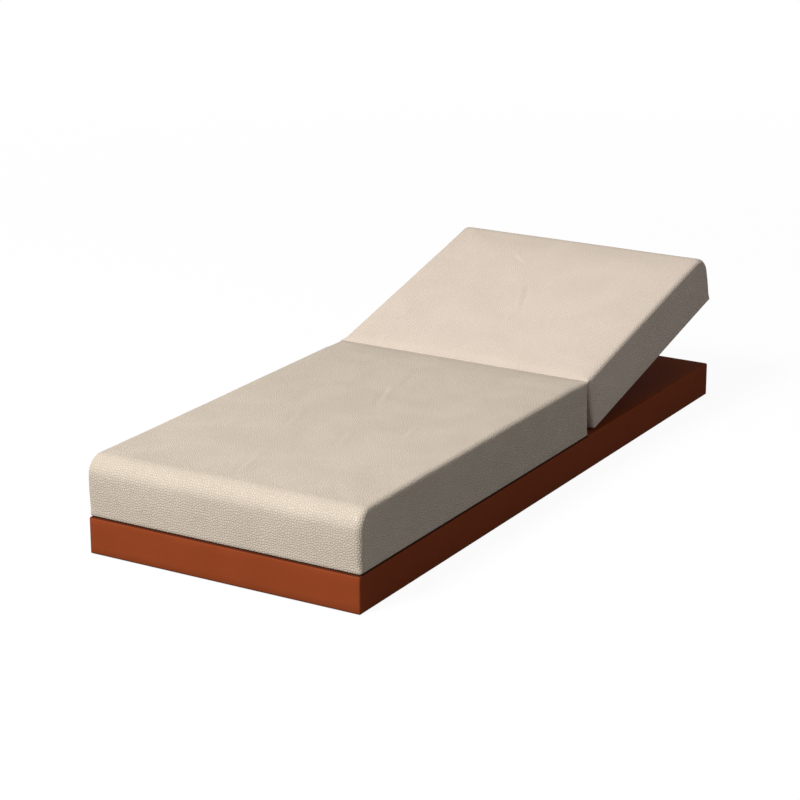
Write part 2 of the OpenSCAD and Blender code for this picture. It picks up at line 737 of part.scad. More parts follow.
module stay_head_brackets() {
    color(black_steel) tilted() at_stay_heads() eared_bracket(head_bracket_l, stay_ear_drop);
}

module stay_head_screws() {
    color(zinc) tilted() at_stay_heads() bracket_screws(head_bracket_l/2 - bracket_screw_end, 0);
}

module stay_head_pins() {
    color(steel) both_sides() translate([stay_x, head_rest_y, head_rest_z]) stay_pin();
}

// Tube with an eye, drawn from its pivot along Y
module stay_tube() {
    color(steel) translate([stay_x, stay_foot_y, stay_foot_z]) rotate([stay_lift, 0, 0]) difference() {
        union() {
            translate([-stay_eye_w/2, 0, 0]) bar_x(stay_eye_r, stay_eye_w);
            along_y() cylinder(r = stay_neck_r, h = tube_bore_in);
            translate([0, stay_eye_r, 0]) along_y() cylinder(r = tube_r, h = tube_l - stay_eye_r);
        }
        translate([-stay_eye_w, 0, 0]) bar_x(stay_pin_r + pin_fit, 2*stay_eye_w);
        translate([0, tube_bore_in, 0]) along_y() cylinder(r = rod_r + seat_fit, h = tube_l);
    }
}
module stay_tube_right() { stay_tube(); }
module stay_tube_left() { mirror([1, 0, 0]) stay_tube(); }

// Nylon collar on the tube's mouth, with a chamber for the detent
module stay_collar() {
    color(nylon) translate([stay_x, stay_foot_y, stay_foot_z]) rotate([stay_lift, 0, 0])
        translate([0, tube_l, 0]) along_y() rotate_extrude() polygon([
            [tube_r + pin_fit, -collar_sleeve_l], [collar_out_r, -collar_sleeve_l],
            [collar_out_r, chamber_l + collar_wall], [collar_bore_r, chamber_l + collar_wall],
            [collar_bore_r, chamber_l], [chamber_r, chamber_l],
            [chamber_r, 0], [tube_r + pin_fit, 0]]);
}
module stay_collar_right() { stay_collar(); }
module stay_collar_left() { mirror([1, 0, 0]) stay_collar(); }

// Open ring of spring wire that snaps into the rod's grooves
module stay_detent() {
    color(steel) translate([stay_x, stay_foot_y, stay_foot_z]) rotate([stay_lift, 0, 0])
        translate([0, tube_l + chamber_l/2, 0]) along_y() rotate_extrude(angle = 300)
            translate([detent_mid_r, 0]) circle(r = detent_wire_r, $fn = 24);
}
module stay_detent_right() { stay_detent(); }
module stay_detent_left() { mirror([1, 0, 0]) stay_detent(); }

// Rod with an eye and locking grooves, drawn from its pivot back along Y
module stay_rod() {
    notches = floor((rod_l - stay_eye_r - notch_plain_l)/notch_pitch);
    color(zinc) translate([stay_x, head_rest_y, head_rest_z]) rotate([stay_lift, 0, 0]) difference() {
        union() {
            translate([-stay_eye_w/2, 0, 0]) bar_x(stay_eye_r, stay_eye_w);
            translate([0, -rod_l, 0]) along_y() cylinder(r = rod_r, h = rod_l);
        }
        translate([-stay_eye_w, 0, 0]) bar_x(stay_pin_r + pin_fit, 2*stay_eye_w);
        for (k = [1:notches]) translate([0, -rod_l + notch_end_l + k*notch_pitch, 0]) along_y()
            rotate_extrude() translate([rod_r + detent_wire_r - notch_d, 0])
                circle(r = detent_wire_r, $fn = 24);
    }
}
module stay_rod_right() { stay_rod(); }
module stay_rod_left() { mirror([1, 0, 0]) stay_rod(); }

// Felt pads, on which the backrest lies when it is flat
module felt_pads() {
    color([0.25, 0.12, 0.08]) both_sides() for (y = felt_ys) translate([felt_x, y, plinth_top])
        cylinder(r = felt_r, h = lie_gap - felt_clear);
}

// Seat

// Puts a cushion's piece, drawn with its round end at y = 0, at the foot end
module at_foot() { translate([0, foot_y, 0]) children(); }

// Puts it at the head end, turned round
module at_head() { translate([0, head_y, 0]) mirror([0, 1, 0]) children(); }

module tee_nut_shape(fit) {
    translate([0, 0, plinth_top + board_t - tee_flange_t])
        cylinder(r = tee_flange_r + fit, h = tee_flange_t);
    translate([0, 0, plinth_top + board_t - tee_barrel_l]) cylinder(r = tee_barrel_r + fit, h = tee_barrel_l);
}

module seat_board() {
    color(plywood) difference() {
        at_foot() board(seat_l, plinth_top, board_t);
        hinge_pocket(pocket_seat_y, joint_y, plinth_top - over);
        both_sides() for (y = seat_bolt_ys) translate([seat_bolt_x, y, 0]) {
            tee_nut_shape(pin_fit);
            translate([0, 0, plinth_top + board_t]) cylinder(r = tee_flange_r + pin_fit, h = over);
            translate([0, 0, plinth_top - over]) cylinder(r = seat_bolt_r + seat_fit, h = board_t);
        }
    }
}

module seat_foam() {
    color(foam_white) difference() {
        at_foot() translate([0, side_wall + seat_fit, 0]) filling(
            seat_l - 2*side_wall - 2*seat_fit, cushion_w - 2*side_wall - 2*seat_fit,
            plinth_top + board_t, cushion_top - top_wall - seat_fit, end_round_r - side_wall);
        hinge_pocket(pocket_seat_y, joint_y, plinth_top);
    }
}

module seat_cover() {
    color(leatherette_beige) difference() {
        at_foot() translate([0, 0, plinth_top]) cushion_form(seat_l, cushion_h);
        at_foot() translate([0, side_wall, 0]) filling(
            seat_l - 2*side_wall, cushion_w - 2*side_wall,
            plinth_top - over, cushion_top - top_wall, end_round_r - side_wall);
        hinge_pocket(pocket_seat_y, joint_y + over, plinth_top - over);
    }
}

module seat_bolts() {
    head_z = rail_top - bolt_head_h;
    color(zinc) both_sides() for (y = seat_bolt_ys) translate([seat_bolt_x, y, head_z]) {
        cylinder(r = 1.85*seat_bolt_r, h = bolt_head_h, $fn = 6);
        cylinder(r = seat_bolt_r, h = plinth_top + board_t - tee_flange_t - head_z);
    }
}

module seat_tee_nuts() {
    color(zinc) both_sides() for (y = seat_bolt_ys) translate([seat_bolt_x, y, 0]) difference() {
        tee_nut_shape(0);
        translate([0, 0, plinth_top]) cylinder(r = seat_bolt_r + pin_fit, h = board_t + over);
    }
}

// Backrest, drawn lying flat and then tilted

module back_board() {
    color(plywood) tilted() difference() {
        at_head() board(back_l, back_board_z, board_t);
        arm_bolt_shanks(pin_fit);
        arm_bolt_heads(pin_fit);
        at_stay_heads() bracket_screws(head_bracket_l/2 - bracket_screw_end, pin_fit);
    }
}

// Room round the hinge arms' feet and nuts
module arm_foot_room() {
    room_x = arm_x + plate_t/2 - arm_foot_w - seat_fit;
    both_sides() translate([room_x, joint_y, back_board_z + board_t - over])
        cube([arm_foot_w + 2*seat_fit, arm_foot_y + arm_foot_l + seat_fit - joint_y,
            arm_foot_t + 2*arm_bolt_r + over]);
}

module back_foam() {
    color(foam_white) tilted() difference() {
        at_head() translate([0, side_wall + seat_fit, 0]) filling(
            back_l - 2*side_wall - 2*seat_fit, cushion_w - 2*side_wall - 2*seat_fit,
            back_board_z + board_t, cushion_top - top_wall - seat_fit, end_round_r - side_wall);
        hinge_pocket(joint_y, joint_y + plate_w + 2*plate_t, back_board_z + board_t - over);
        arm_foot_room();
    }
}

module back_cover() {
    color(leatherette_beige) tilted() difference() {
        at_head() translate([0, 0, back_floor]) cushion_form(back_l, back_h);
        at_head() translate([0, side_wall, 0]) filling(
            back_l - 2*side_wall, cushion_w - 2*side_wall,
            back_floor - over, cushion_top - top_wall, end_round_r - side_wall);
        hinge_pocket(joint_y - over, joint_y + plate_w + 2*plate_t, back_board_z + board_t);
    }
}

module back_dust_cloth() {
    color([0.16, 0.15, 0.15]) tilted() difference() {
        at_head() board(back_l, back_floor, dust_cloth_t);
        both_sides() translate([stay_x - bracket_half_w - seat_fit,
            stay_head_y - head_bracket_l/2 - seat_fit, back_floor - over])
            cube([2*bracket_half_w + 2*seat_fit, head_bracket_l + 2*seat_fit, dust_cloth_t + 2*over]);
    }
}

base_cover();
deck_board();
side_rail_left();
side_rail_right();
foot_rail();
head_rail();
cross_rails();
stay_rail();
corner_blocks();
glides();
deck_screws();
hinge_blocks();
hinge_post_left();
hinge_post_right();
hinge_post_bolts();
hinge_pins();
hinge_clips();
hinge_washers();
stay_foot_brackets();
stay_foot_screws();
stay_foot_pins();
felt_pads();
seat_board();
seat_foam();
seat_cover();
seat_bolts();
seat_tee_nuts();
back_board();
back_foam();
back_cover();
back_dust_cloth();
hinge_arm_left();
hinge_arm_right();
hinge_bushes();
hinge_arm_bolts();
stay_head_brackets();
stay_head_screws();
stay_head_pins();
stay_tube_left();
stay_tube_right();
stay_collar_left();
stay_collar_right();
stay_detent_left();
stay_detent_right();
stay_rod_left();
stay_rod_right();
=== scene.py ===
import json
import math

import bmesh
import bpy
import numpy as np
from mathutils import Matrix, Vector, noise


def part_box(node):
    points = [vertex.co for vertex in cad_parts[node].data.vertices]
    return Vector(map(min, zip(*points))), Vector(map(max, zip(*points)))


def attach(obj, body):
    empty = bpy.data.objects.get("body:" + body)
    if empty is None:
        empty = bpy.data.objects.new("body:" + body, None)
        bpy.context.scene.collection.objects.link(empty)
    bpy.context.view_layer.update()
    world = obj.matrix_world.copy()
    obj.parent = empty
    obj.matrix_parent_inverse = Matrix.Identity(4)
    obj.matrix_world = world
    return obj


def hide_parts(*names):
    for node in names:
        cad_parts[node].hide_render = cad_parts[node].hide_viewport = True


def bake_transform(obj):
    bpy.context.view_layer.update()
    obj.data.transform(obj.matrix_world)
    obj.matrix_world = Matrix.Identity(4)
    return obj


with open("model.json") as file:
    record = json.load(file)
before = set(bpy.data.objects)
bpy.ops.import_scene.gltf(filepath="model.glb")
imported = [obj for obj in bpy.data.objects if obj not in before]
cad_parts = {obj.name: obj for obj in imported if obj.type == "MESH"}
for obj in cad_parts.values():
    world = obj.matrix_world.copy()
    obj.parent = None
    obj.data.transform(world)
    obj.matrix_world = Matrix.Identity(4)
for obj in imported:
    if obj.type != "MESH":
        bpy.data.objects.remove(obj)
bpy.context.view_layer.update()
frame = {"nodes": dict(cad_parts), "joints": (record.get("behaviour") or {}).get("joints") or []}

nodes = frame["nodes"]


# The studio. The lounger stands on a plain pale floor, in front of a white ground. One soft lamp, 3.5 m
# across, hangs high beyond the foot end, a little to the left. A weak one fills the right side.
class Value:
    """A number, colour or vector that changes over a surface. Arithmetic on it adds Math nodes."""

    def __init__(self, nodes, socket):
        self.nodes = nodes
        self.socket = socket

    def maths(self, operation, *terms):
        return self.nodes.add("ShaderNodeMath", {"operation": operation}, terms)

    def __add__(self, other):
        return self.maths("ADD", self, other)

    def __radd__(self, other):
        return self.maths("ADD", other, self)

    def __sub__(self, other):
        return self.maths("SUBTRACT", self, other)

    def __rsub__(self, other):
        return self.maths("SUBTRACT", other, self)

    def __mul__(self, other):
        return self.maths("MULTIPLY", self, other)

    def __rmul__(self, other):
        return self.maths("MULTIPLY", other, self)

    def __truediv__(self, other):
        return self.maths("DIVIDE", self, other)

    def __rtruediv__(self, other):
        return self.maths("DIVIDE", other, self)

    def __pow__(self, other):
        return self.maths("POWER", self, other)

    def __rpow__(self, other):
        return self.maths("POWER", other, self)

    def __abs__(self):
        return self.maths("ABSOLUTE", self)

    def at_least(self, other):
        return self.maths("MAXIMUM", self, other)

    def at_most(self, other):
        return self.maths("MINIMUM", self, other)


class Nodes:
    """The nodes of a finish or of the room."""

    def __init__(self, owner):
        owner.use_nodes = True
        self.tree = owner.node_tree

    def add(self, kind, settings, sockets, out=None):
        """Adds a node: its settings, then the values or links of its sockets, by name or in their order.
        Gives its output of that name, or its first one."""
        node = self.tree.nodes.new(kind)
        for name, setting in settings.items():
            setattr(node, name, setting)
        shown = [s for s in node.inputs if s.enabled]
        if isinstance(sockets, dict):
            pairs = [(next(s for s in shown if s.name == name), value) for name, value in sockets.items()]
        else:
            pairs = zip(shown, sockets)
        for socket, value in pairs:
            if isinstance(value, Value):
                self.tree.links.new(value.socket, socket)
            else:
                socket.default_value = value
        outs = [s for s in node.outputs if s.enabled]
        return Value(self, next(s for s in outs if out in (None, s.name)))

    def place(self):
        """The three coordinates of a point of the piece, in metres."""
        at = self.add("ShaderNodeTexCoord", {}, {}, "Object")
        return [self.add("ShaderNodeSeparateXYZ", {}, [at], axis) for axis in "XYZ"]

    def ease(self, value, start, end, low=0, high=1):
        """Goes smoothly from low to high as the value goes from start to end."""
        span = {"From Min": start, "From Max": end, "To Min": low, "To Max": high}
        return self.add("ShaderNodeMapRange", {"interpolation_type": "SMOOTHSTEP"}, {"Value": value, **span})

    def seen(self):
        """1 where the camera looks, straight or in a gloss or through glass, and 0 for all other light."""
        straight, gloss, glass = [
            self.add("ShaderNodeLightPath", {}, {}, f"Is {way} Ray")
            for way in ("Camera", "Glossy", "Transmission")
        ]
        return straight.at_least(gloss).at_least(glass)


# The camera's place, turn and lens put the plinth's edges where the photograph has them.
camera = bpy.data.objects.new("camera", bpy.data.cameras.new("camera"))
bpy.context.scene.collection.objects.link(camera)
camera.location = (3.3127, -5.7013, 2.3284)
camera.rotation_euler = [math.radians(turn) for turn in (72.082, 0.117, 30.744)]
camera.data.sensor_width = 36
camera.data.lens = 112.9
bpy.context.scene.camera = camera
bpy.context.scene.view_settings.view_transform = "Standard"

# Each lamp hangs on its side of the lounger, at a distance and with a width in metres.
for name, side, distance, width, watts in (
    ("window", (-0.3, -0.98, 1), 12, 3.5, 1690),
    ("fill", (1, -0.1, 0.62), 9, 4, 60),
):
    lamp = bpy.data.objects.new(name, bpy.data.lights.new(name, "AREA"))
    bpy.context.scene.collection.objects.link(lamp)
    lamp.data.shape = "DISK"
    lamp.data.size = width
    lamp.data.energy = watts
    direction = Vector(side).normalized()
    lamp.location = direction * distance
    lamp.rotation_euler = direction.to_track_quat("Z", "Y").to_euler()

WHITE = (1, 1, 1, 1)
ROOM_LIGHT = 0.17
room = bpy.data.worlds.new("room")
bpy.context.scene.world = room
sky = Nodes(room)
dim = sky.add("ShaderNodeBackground", {}, {"Color": WHITE, "Strength": ROOM_LIGHT})
bright = sky.add("ShaderNodeBackground", {}, {"Color": WHITE, "Strength": 1})
ground = sky.add("ShaderNodeMixShader", {}, [sky.seen(), dim, bright])
sky.tree.links.new(ground.socket, sky.tree.nodes["World Output"].inputs["Surface"])

# The floor shows white by its own glow, all of it far out, and less near the lounger and none under it,
# so that the lounger's shadow is left. It throws little light back.
FLOOR_HALF = 60
FLOOR_BOUNCE = 0.15
UNDER_HALF_W, UNDER_HALF_L, UNDER_EDGE = 0.4, 1, 0.015
GLOW_NEAR, GLOW_FAR, GLOW_SHARE = 1.5, 7, 0.95
floor_mesh = bpy.data.meshes.new("floor")
floor_corners = [(x * FLOOR_HALF, y * FLOOR_HALF, 0) for x, y in ((-1, -1), (1, -1), (1, 1), (-1, 1))]
floor_mesh.from_pydata(floor_corners, [], [(0, 1, 2, 3)])
floor = bpy.data.objects.new("floor", floor_mesh)
bpy.context.scene.collection.objects.link(floor)
floor_paint = bpy.data.materials.new("floor_paint")
paint = Nodes(floor_paint)
floor_x, floor_y = paint.place()[:2]
from_middle = (floor_x * floor_x + floor_y * floor_y) ** 0.5
beyond_side = paint.ease(abs(floor_x), UNDER_HALF_W - UNDER_EDGE, UNDER_HALF_W)
beyond_end = paint.ease(abs(floor_y), UNDER_HALF_L - UNDER_EDGE, UNDER_HALF_L)
glow_share = paint.ease(from_middle, GLOW_NEAR, GLOW_FAR, GLOW_SHARE, 1) * beyond_side.at_least(beyond_end)
dull = paint.add("ShaderNodeBsdfDiffuse", {}, {"Color": (FLOOR_BOUNCE, FLOOR_BOUNCE, FLOOR_BOUNCE, 1)})
shaded = paint.add("ShaderNodeBsdfDiffuse", {}, {"Color": WHITE})
glow = paint.add("ShaderNodeEmission", {}, {"Color": WHITE, "Strength": 1})
lit = paint.add("ShaderNodeMixShader", {}, [glow_share, shaded, glow])
coat = paint.add("ShaderNodeMixShader", {}, [paint.seen(), dull, lit])
paint.tree.links.new(coat.socket, paint.tree.nodes["Material Output"].inputs["Surface"])
floor_mesh.materials.append(floor_paint)


# The rails and glue blocks: planed pine, screwed and glued into a box under the deck. The grain runs
# along each rail, with soft rings, fine fibres and a few darker streaks.
def colour(red, green, blue):
    """A colour in light-linear numbers, from its three numbers from 0 to 255."""
    parts = [c / 255 for c in (red, green, blue)]
    return tuple(c / 12.92 if c <= 0.04045 else ((c + 0.055) / 1.055) ** 2.4 for c in parts) + (1,)


class Finish(Nodes):
    """A material of one shader. The fixed values are set on it, and feed() links what changes."""

    def __init__(self, name, base, fixed):
        self.material = bpy.data.materials.new(name)
        super().__init__(self.material)
        self.shader = self.tree.nodes["Principled BSDF"]
        self.shader.inputs["Base Color"].default_value = base
        for socket, value in fixed.items():
            self.shader.inputs[socket].default_value = value

    def feed(self, socket, value):
        self.tree.links.new(value.socket, self.shader.inputs[socket])

    def facing(self, axis):
        """How squarely the surface faces along an axis, from -1 to 1."""
        normal = self.add("ShaderNodeTexCoord", {}, {}, "Normal")
        return self.add("ShaderNodeSeparateXYZ", {}, [normal], axis)

    def point(self, *parts):
        return self.add("ShaderNodeCombineXYZ", {}, parts)

    def rough(self, at, per_metre, detail=2, roughness=0.5, distortion=0):
        """Noise from 0 to 1, with so many waves in a metre."""
        sockets = {"Vector": at, "Scale": per_metre, "Detail": detail, "Roughness": roughness}
        return self.add("ShaderNodeTexNoise", {}, {**sockets, "Distortion": distortion}, "Fac")

    def drawn_out(self, places, per_metre, *settings):
        """Noise with a number of waves in a metre of its own for each coordinate."""
        at = self.point(*[place * waves for place, waves in zip(places, per_metre)])
        return self.rough(at, 1, *settings)

    def tint(self, share, first, second):
        """Colours: the second over the first, by a share."""
        return self.add("ShaderNodeMix", {"data_type": "RGBA"}, [share, first, second])

    def relief(self, height, depth, under=None):
        """Bumps of that depth in metres for a height from 0 to 1, on top of others where given."""
        sockets = {"Strength": 1, "Distance": depth, "Height": height}
        if under:
            sockets["Normal"] = under
        return self.add("ShaderNodeBump", {}, sockets)


def wear(finish, *names):
    """Puts a finish on CAD nodes."""
    for name in names:
        for slot in nodes[name].material_slots:
            slot.material = finish.material


RING_W, RING_TILT, RING_BEND = 0.011, 0.7, 0.09


def pine(name, along):
    """Sawn softwood with its grain along X or Y."""
    pale, dark = colour(226, 196, 150), colour(188, 140, 88)
    wood = Finish(name, pale, {"Roughness": 0.62, "Specular IOR Level": 0.3})
    x, y, z = wood.place()
    length, across = (x, y) if along == "X" else (y, x)
    bend = wood.drawn_out((length, across, z), (1.3, 6, 6))
    depth = across + z * RING_TILT + bend * RING_BEND
    rings = wood.add("ShaderNodeMath", {"operation": "SINE"}, [depth * (math.tau / RING_W)])
    fibres = wood.drawn_out((length, across, z), (9, 700, 700))
    streaks = wood.drawn_out((length, across, z), (2, 90, 90))
    grain = rings * 0.16 + fibres * 0.34 + streaks * 0.5
    wood.feed("Base Color", wood.tint(wood.ease(grain, 0.2, 0.75), pale, dark))
    wood.feed("Roughness", wood.ease(fibres, 0.2, 0.8, 0.52, 0.72))
    wood.feed("Normal", wood.relief(fibres, 0.00015))
    return wood


wear(pine("pine_along", "Y"), "side_rail_left", "side_rail_right")
wear(
    pine("pine_across", "X"),
    "foot_rail", "head_rail", "cross_rails", "stay_rail", "hinge_blocks", "corner_blocks",
)


# The deck: one sheet of birch plywood on the rails, with two wells for the stays. Its faces show the
# long grain of the outer veneer, and its edges the plies, light and dark in turn.
def plywood(name, along, foot, ply, lean=0):
    """Birch plywood. Its lowest face is at the height foot, and each ply is so thick."""
    pale, dark = colour(222, 194, 150), colour(196, 157, 108)
    board = Finish(name, pale, {"Roughness": 0.55, "Specular IOR Level": 0.3})
    x, y, z = flat_place(board, lean)
    length, across = (x, y) if along == "X" else (y, x)
    fibres = board.drawn_out((length, across, z), (7, 520, 40), 3)
    clouds = board.drawn_out((length, across, z), (2, 16, 1), 2, 0.5, 0.6)
    veneer = board.tint(board.ease(fibres * 0.6 + clouds * 0.5, 0.3, 0.8), pale, dark)
    plies = board.add("ShaderNodeMath", {"operation": "PINGPONG"}, [z - foot, ply])
    edge = board.tint(board.ease(plies / ply, 0.35, 0.65), pale, colour(150, 108, 68))
    level = board.ease(abs(board.facing("Z")), 0.5, 0.8)
    board.feed("Base Color", board.tint(level, edge, veneer))
    board.feed("Roughness", board.ease(fibres, 0.2, 0.8, 0.48, 0.66))
    board.feed("Normal", board.relief(fibres, 0.0001))
    return board


hinge = next(j for j in frame["joints"] if j["name"] == "back_recline")
AXIS_Y, AXIS_Z = hinge["pos_m"][1:]
LEAN = math.radians(-hinge["range_deg"][0])


def flat_place(finish, lean):
    """A point's coordinates as if the piece, which leans at rest, lay flat."""
    x, y, z = finish.place()
    if not lean:
        return x, y, z
    forth, up = y - AXIS_Y, z - AXIS_Z
    cos, sin = math.cos(lean), math.sin(lean)
    return x, forth * cos + up * sin + AXIS_Y, up * cos - forth * sin + AXIS_Z


DECK_PLY = 0.0013
wear(plywood("deck_plywood", "Y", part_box("deck_board")[0].z, DECK_PLY), "deck_board")


# The screws, bolts and tee nuts: steel with a bright zinc coat, a little cloudy from the bath. Screws
# hold the deck and the brackets of the stays, and bolts hold the hinges and the seat.
def metal(name, base, roughness, spread, grain_per_metre, depth):
    """Bare or plated metal, with a fine uneven surface and clouded gloss."""
    plate = Finish(name, base, {"Metallic": 1})
    at = plate.add("ShaderNodeTexCoord", {}, {}, "Object")
    clouds = plate.rough(at, 60, 3)
    grain = plate.rough(at, grain_per_metre, 2)
    gloss = plate.ease(clouds * 0.6 + grain * 0.4, 0.3, 0.7, roughness - spread, roughness + spread)
    clouded = tuple(c * 0.6 for c in base[:3]) + (1,)
    plate.feed("Base Color", plate.tint(plate.ease(clouds, 0.3, 0.7, 0, 0.35), base, clouded))
    plate.feed("Roughness", gloss)
    plate.feed("Normal", plate.relief(grain, depth))
    return plate


zinc = metal("zinc_plate", colour(196, 199, 204), 0.34, 0.08, 1500, 0.00002)
wear(
    zinc,
    "deck_screws", "hinge_post_bolts", "stay_foot_screws", "seat_bolts", "seat_tee_nuts", "hinge_arm_bolts",
    "stay_head_screws",
)


# The glides: nine black nylon discs with a moulded-in nail each, driven up into the rails. The floor
# has scuffed them slightly. The collars of the stays are of the same nylon.
def nylon_moulding(name):
    """Black moulded nylon with fine spark-eroded grain, paler where it has rubbed."""
    base = colour(38, 38, 40)
    moulding = Finish(name, base, {"Roughness": 0.45})
    at = moulding.add("ShaderNodeTexCoord", {}, {}, "Object")
    grain = moulding.rough(at, 1800, 2)
    scuffs = moulding.rough(at, 140, 4, 0.7)
    rubbed = moulding.tint(moulding.ease(scuffs, 0.55, 0.8, 0, 0.5), base, colour(84, 84, 88))
    moulding.feed("Base Color", rubbed)
    moulding.feed("Roughness", moulding.ease(grain + scuffs, 0.6, 1.4, 0.36, 0.62))
    moulding.feed("Normal", moulding.relief(grain, 0.00004))
    return moulding


wear(nylon_moulding("nylon"), "glides", "stay_collar_left", "stay_collar_right")


# The hinge posts and arms and the brackets and tubes of the stays: laser-cut and bent sheet steel and
# drawn tube, powder-coated black, with the fine orange-peel skin of the baked powder.
def powder_coat(name):
    """Black powder coat with a satin gloss, dusted a little."""
    base = colour(34, 34, 36)
    powder = Finish(name, base, {"Roughness": 0.42})
    at = powder.add("ShaderNodeTexCoord", {}, {}, "Object")
    peel = powder.rough(at, 900, 2)
    dust_and_painted_shade = powder.rough(at, 25, 3)
    powder.feed("Base Color", powder.tint(powder.ease(dust_and_painted_shade, 0.4, 0.75, 0, 0.4), base, colour(62, 61, 60)))
    powder.feed("Roughness", powder.ease(dust_and_painted_shade + peel, 0.7, 1.3, 0.34, 0.52))
    powder.feed("Normal", powder.relief(peel, 0.00006))
    return powder


wear(
    powder_coat("black_powder_coat"),
    "hinge_post_left", "hinge_post_right", "hinge_clips", "stay_foot_brackets",
    "hinge_arm_left", "hinge_arm_right", "stay_head_brackets", "stay_tube_left", "stay_tube_right",
)


# The plinth's cover: smooth terracotta leatherette on a thin felt, drawn over the carcass like a lid,
# turned under it all round and stapled there. It is turned down into the wells of the stays.
def stops(marks, step):
    """Places along a line: each mark, and even steps between two marks that lie further apart. A
    hundredth of a step too much adds no place."""
    places = [marks[0]]
    for start, end in zip(marks, marks[1:]):
        count = max(1, math.ceil((end - start) / step - 0.01))
        places += [start + (end - start) * i / count for i in range(1, count + 1)]
    return places


def rounded(p, q, r):
    """Draws a place p and q inside the two faces of a square corner in to a round of radius r."""
    if p >= r or q >= r:
        return p, q
    a, b = 1 - p / r, 1 - q / r
    return r * (1 - a * math.sqrt(1 - b * b / 2)), r * (1 - b * math.sqrt(1 - a * a / 2))


def outline(ys, zs, rounds):
    """The outline of a block seen from its side: points and inward directions, from its lower corner at
    the last y, up, over the top, down and back. The rounds are of the lower and upper corners, first y
    first."""
    lattice = [(ys[-1], z) for z in zs] + [(y, zs[-1]) for y in reversed(ys[:-1])]
    lattice += [(ys[0], z) for z in reversed(zs[:-1])] + [(y, zs[0]) for y in ys[1:-1]]
    ring = []
    for y, z in lattice:
        far, high = y - ys[0] > ys[-1] - y, z - zs[0] > zs[-1] - z
        p, q = (ys[-1] - y if far else y - ys[0]), (zs[-1] - z if high else z - zs[0])
        r = rounds[high][far]
        a, b = rounded(p, q, r)
        inward = Vector((r - a, r - b)) if p < r and q < r else Vector((p < q, q <= p))
        if inward.length < 1e-9:
            inward = Vector((1, 1))
        inward.normalize()
        way_y, way_z = (-1 if far else 1), (-1 if high else 1)
        at = (ys[-1] - a if far else ys[0] + a, zs[-1] - b if high else zs[0] + b)
        ring.append((at, (inward.x * way_y, inward.y * way_z)))
    return ring


def padded_block(name, ys, zs, rounds, width, edge, xs, turns=(90, 60, 30)):
    """A block with round edges: its outline swept across, rounded to its two sides by the radius that
    edge(y, z) gives, in these turns, and closed there by a patch. xs are shares of the half width."""
    ring = outline(ys, zs, rounds)
    spots = [(-1, a) for a in turns] + [(t, 0) for t in xs] + [(1, a) for a in reversed(turns)]
    points, faces = [], []
    for t, turn in spots:
        sin, cos = math.sin(math.radians(turn)), math.cos(math.radians(turn))
        for (y, z), (in_y, in_z) in ring:
            r = edge(y, z)
            inset = r * (1 - cos)
            points.append((t * (width / 2 - r * (1 - sin)), y + in_y * inset, z + in_z * inset))
    count, rows = len(ring), len(spots)
    for k in range(rows - 1):
        for m in range(count):
            n = (m + 1) % count
            faces.append((k * count + m, k * count + n, (k + 1) * count + n, (k + 1) * count + m))
    long, tall = len(ys) - 1, len(zs) - 1
    for base in (0, (rows - 1) * count):
        last = [base + j for j in range(tall + 1)]
        top = [base + tall + long - i for i in range(long + 1)]
        first = [base + 2 * tall + long - j for j in range(tall + 1)]
        low = [base + (2 * tall + long + i) % count for i in range(long + 1)]
        grid = {(0, j): first[j] for j in range(tall + 1)} | {(long, j): last[j] for j in range(tall + 1)}
        grid |= {(i, 0): low[i] for i in range(long + 1)} | {(i, tall): top[i] for i in range(long + 1)}
        at = {key: Vector(points[k]) for key, k in grid.items()}
        for i in range(1, long):
            for j in range(1, tall):
                u, v = i / long, j / tall
                spot = at[i, 0] * (1 - v) + at[i, tall] * v + at[0, j] * (1 - u) + at[long, j] * u
                spot -= (at[0, 0] * (1 - u) + at[long, 0] * u) * (1 - v)
                spot -= (at[0, tall] * (1 - u) + at[long, tall] * u) * v
                grid[i, j] = len(points)
                points.append(tuple(spot))
        for i in range(long):
            for j in range(tall):
                faces.append((grid[i, j], grid[i + 1, j], grid[i + 1, j + 1], grid[i, j + 1]))
    return new_piece(name, points, faces)


def new_piece(name, points, faces):
    """A mesh piece, its faces all turned outwards."""
    mesh = bpy.data.meshes.new(name)
    mesh.from_pydata(points, [], faces)
    work = bmesh.new()
    work.from_mesh(mesh)
    bmesh.ops.recalc_face_normals(work, faces=work.faces)
    work.to_mesh(mesh)
    work.free()
    mesh.shade_smooth()
    piece = bpy.data.objects.new(name, mesh)
    bpy.context.scene.collection.objects.link(piece)
    return piece


def settle(piece):
    """Works a piece's modifiers into its mesh."""
    done = bpy.data.meshes.new_from_object(piece.evaluated_get(bpy.context.evaluated_depsgraph_get()))
    done.name = piece.name
    piece.modifiers.clear()
    piece.data = done


def leaning(points, lean):
    """Points that were drawn flat, turned about the hinge axis to where they stand at rest."""
    cos, sin = math.cos(lean), math.sin(lean)
    turned = []
    for x, y, z in points:
        forth, up = y - AXIS_Y, z - AXIS_Z
        turned.append((x, forth * cos - up * sin + AXIS_Y, forth * sin + up * cos + AXIS_Z))
    return turned


def boxes_piece(name, boxes, lean=0):
    """A piece of separate boxes, drawn flat. A box is its lowest and highest corner."""
    points, faces = [], []
    for low, high in boxes:
        base = len(points)
        points += [(x, y, z) for x in (low[0], high[0]) for y in (low[1], high[1]) for z in (low[2], high[2])]
        sides = [(0, 1, 3, 2), (4, 6, 7, 5), (0, 4, 5, 1), (2, 3, 7, 6), (0, 2, 6, 4), (1, 5, 7, 3)]
        faces += [tuple(base + k for k in side) for side in sides]
    return new_piece(name, leaning(points, lean), faces)


def cut(piece, boxes, how="DIFFERENCE"):
    """Cuts boxes out of a piece, or joins them to it."""
    cutter = boxes_piece("cutter", boxes)
    tool = piece.modifiers.new("cut", "BOOLEAN")
    tool.operation = how
    tool.solver = "EXACT"
    tool.object = cutter
    settle(piece)
    bpy.data.objects.remove(cutter)


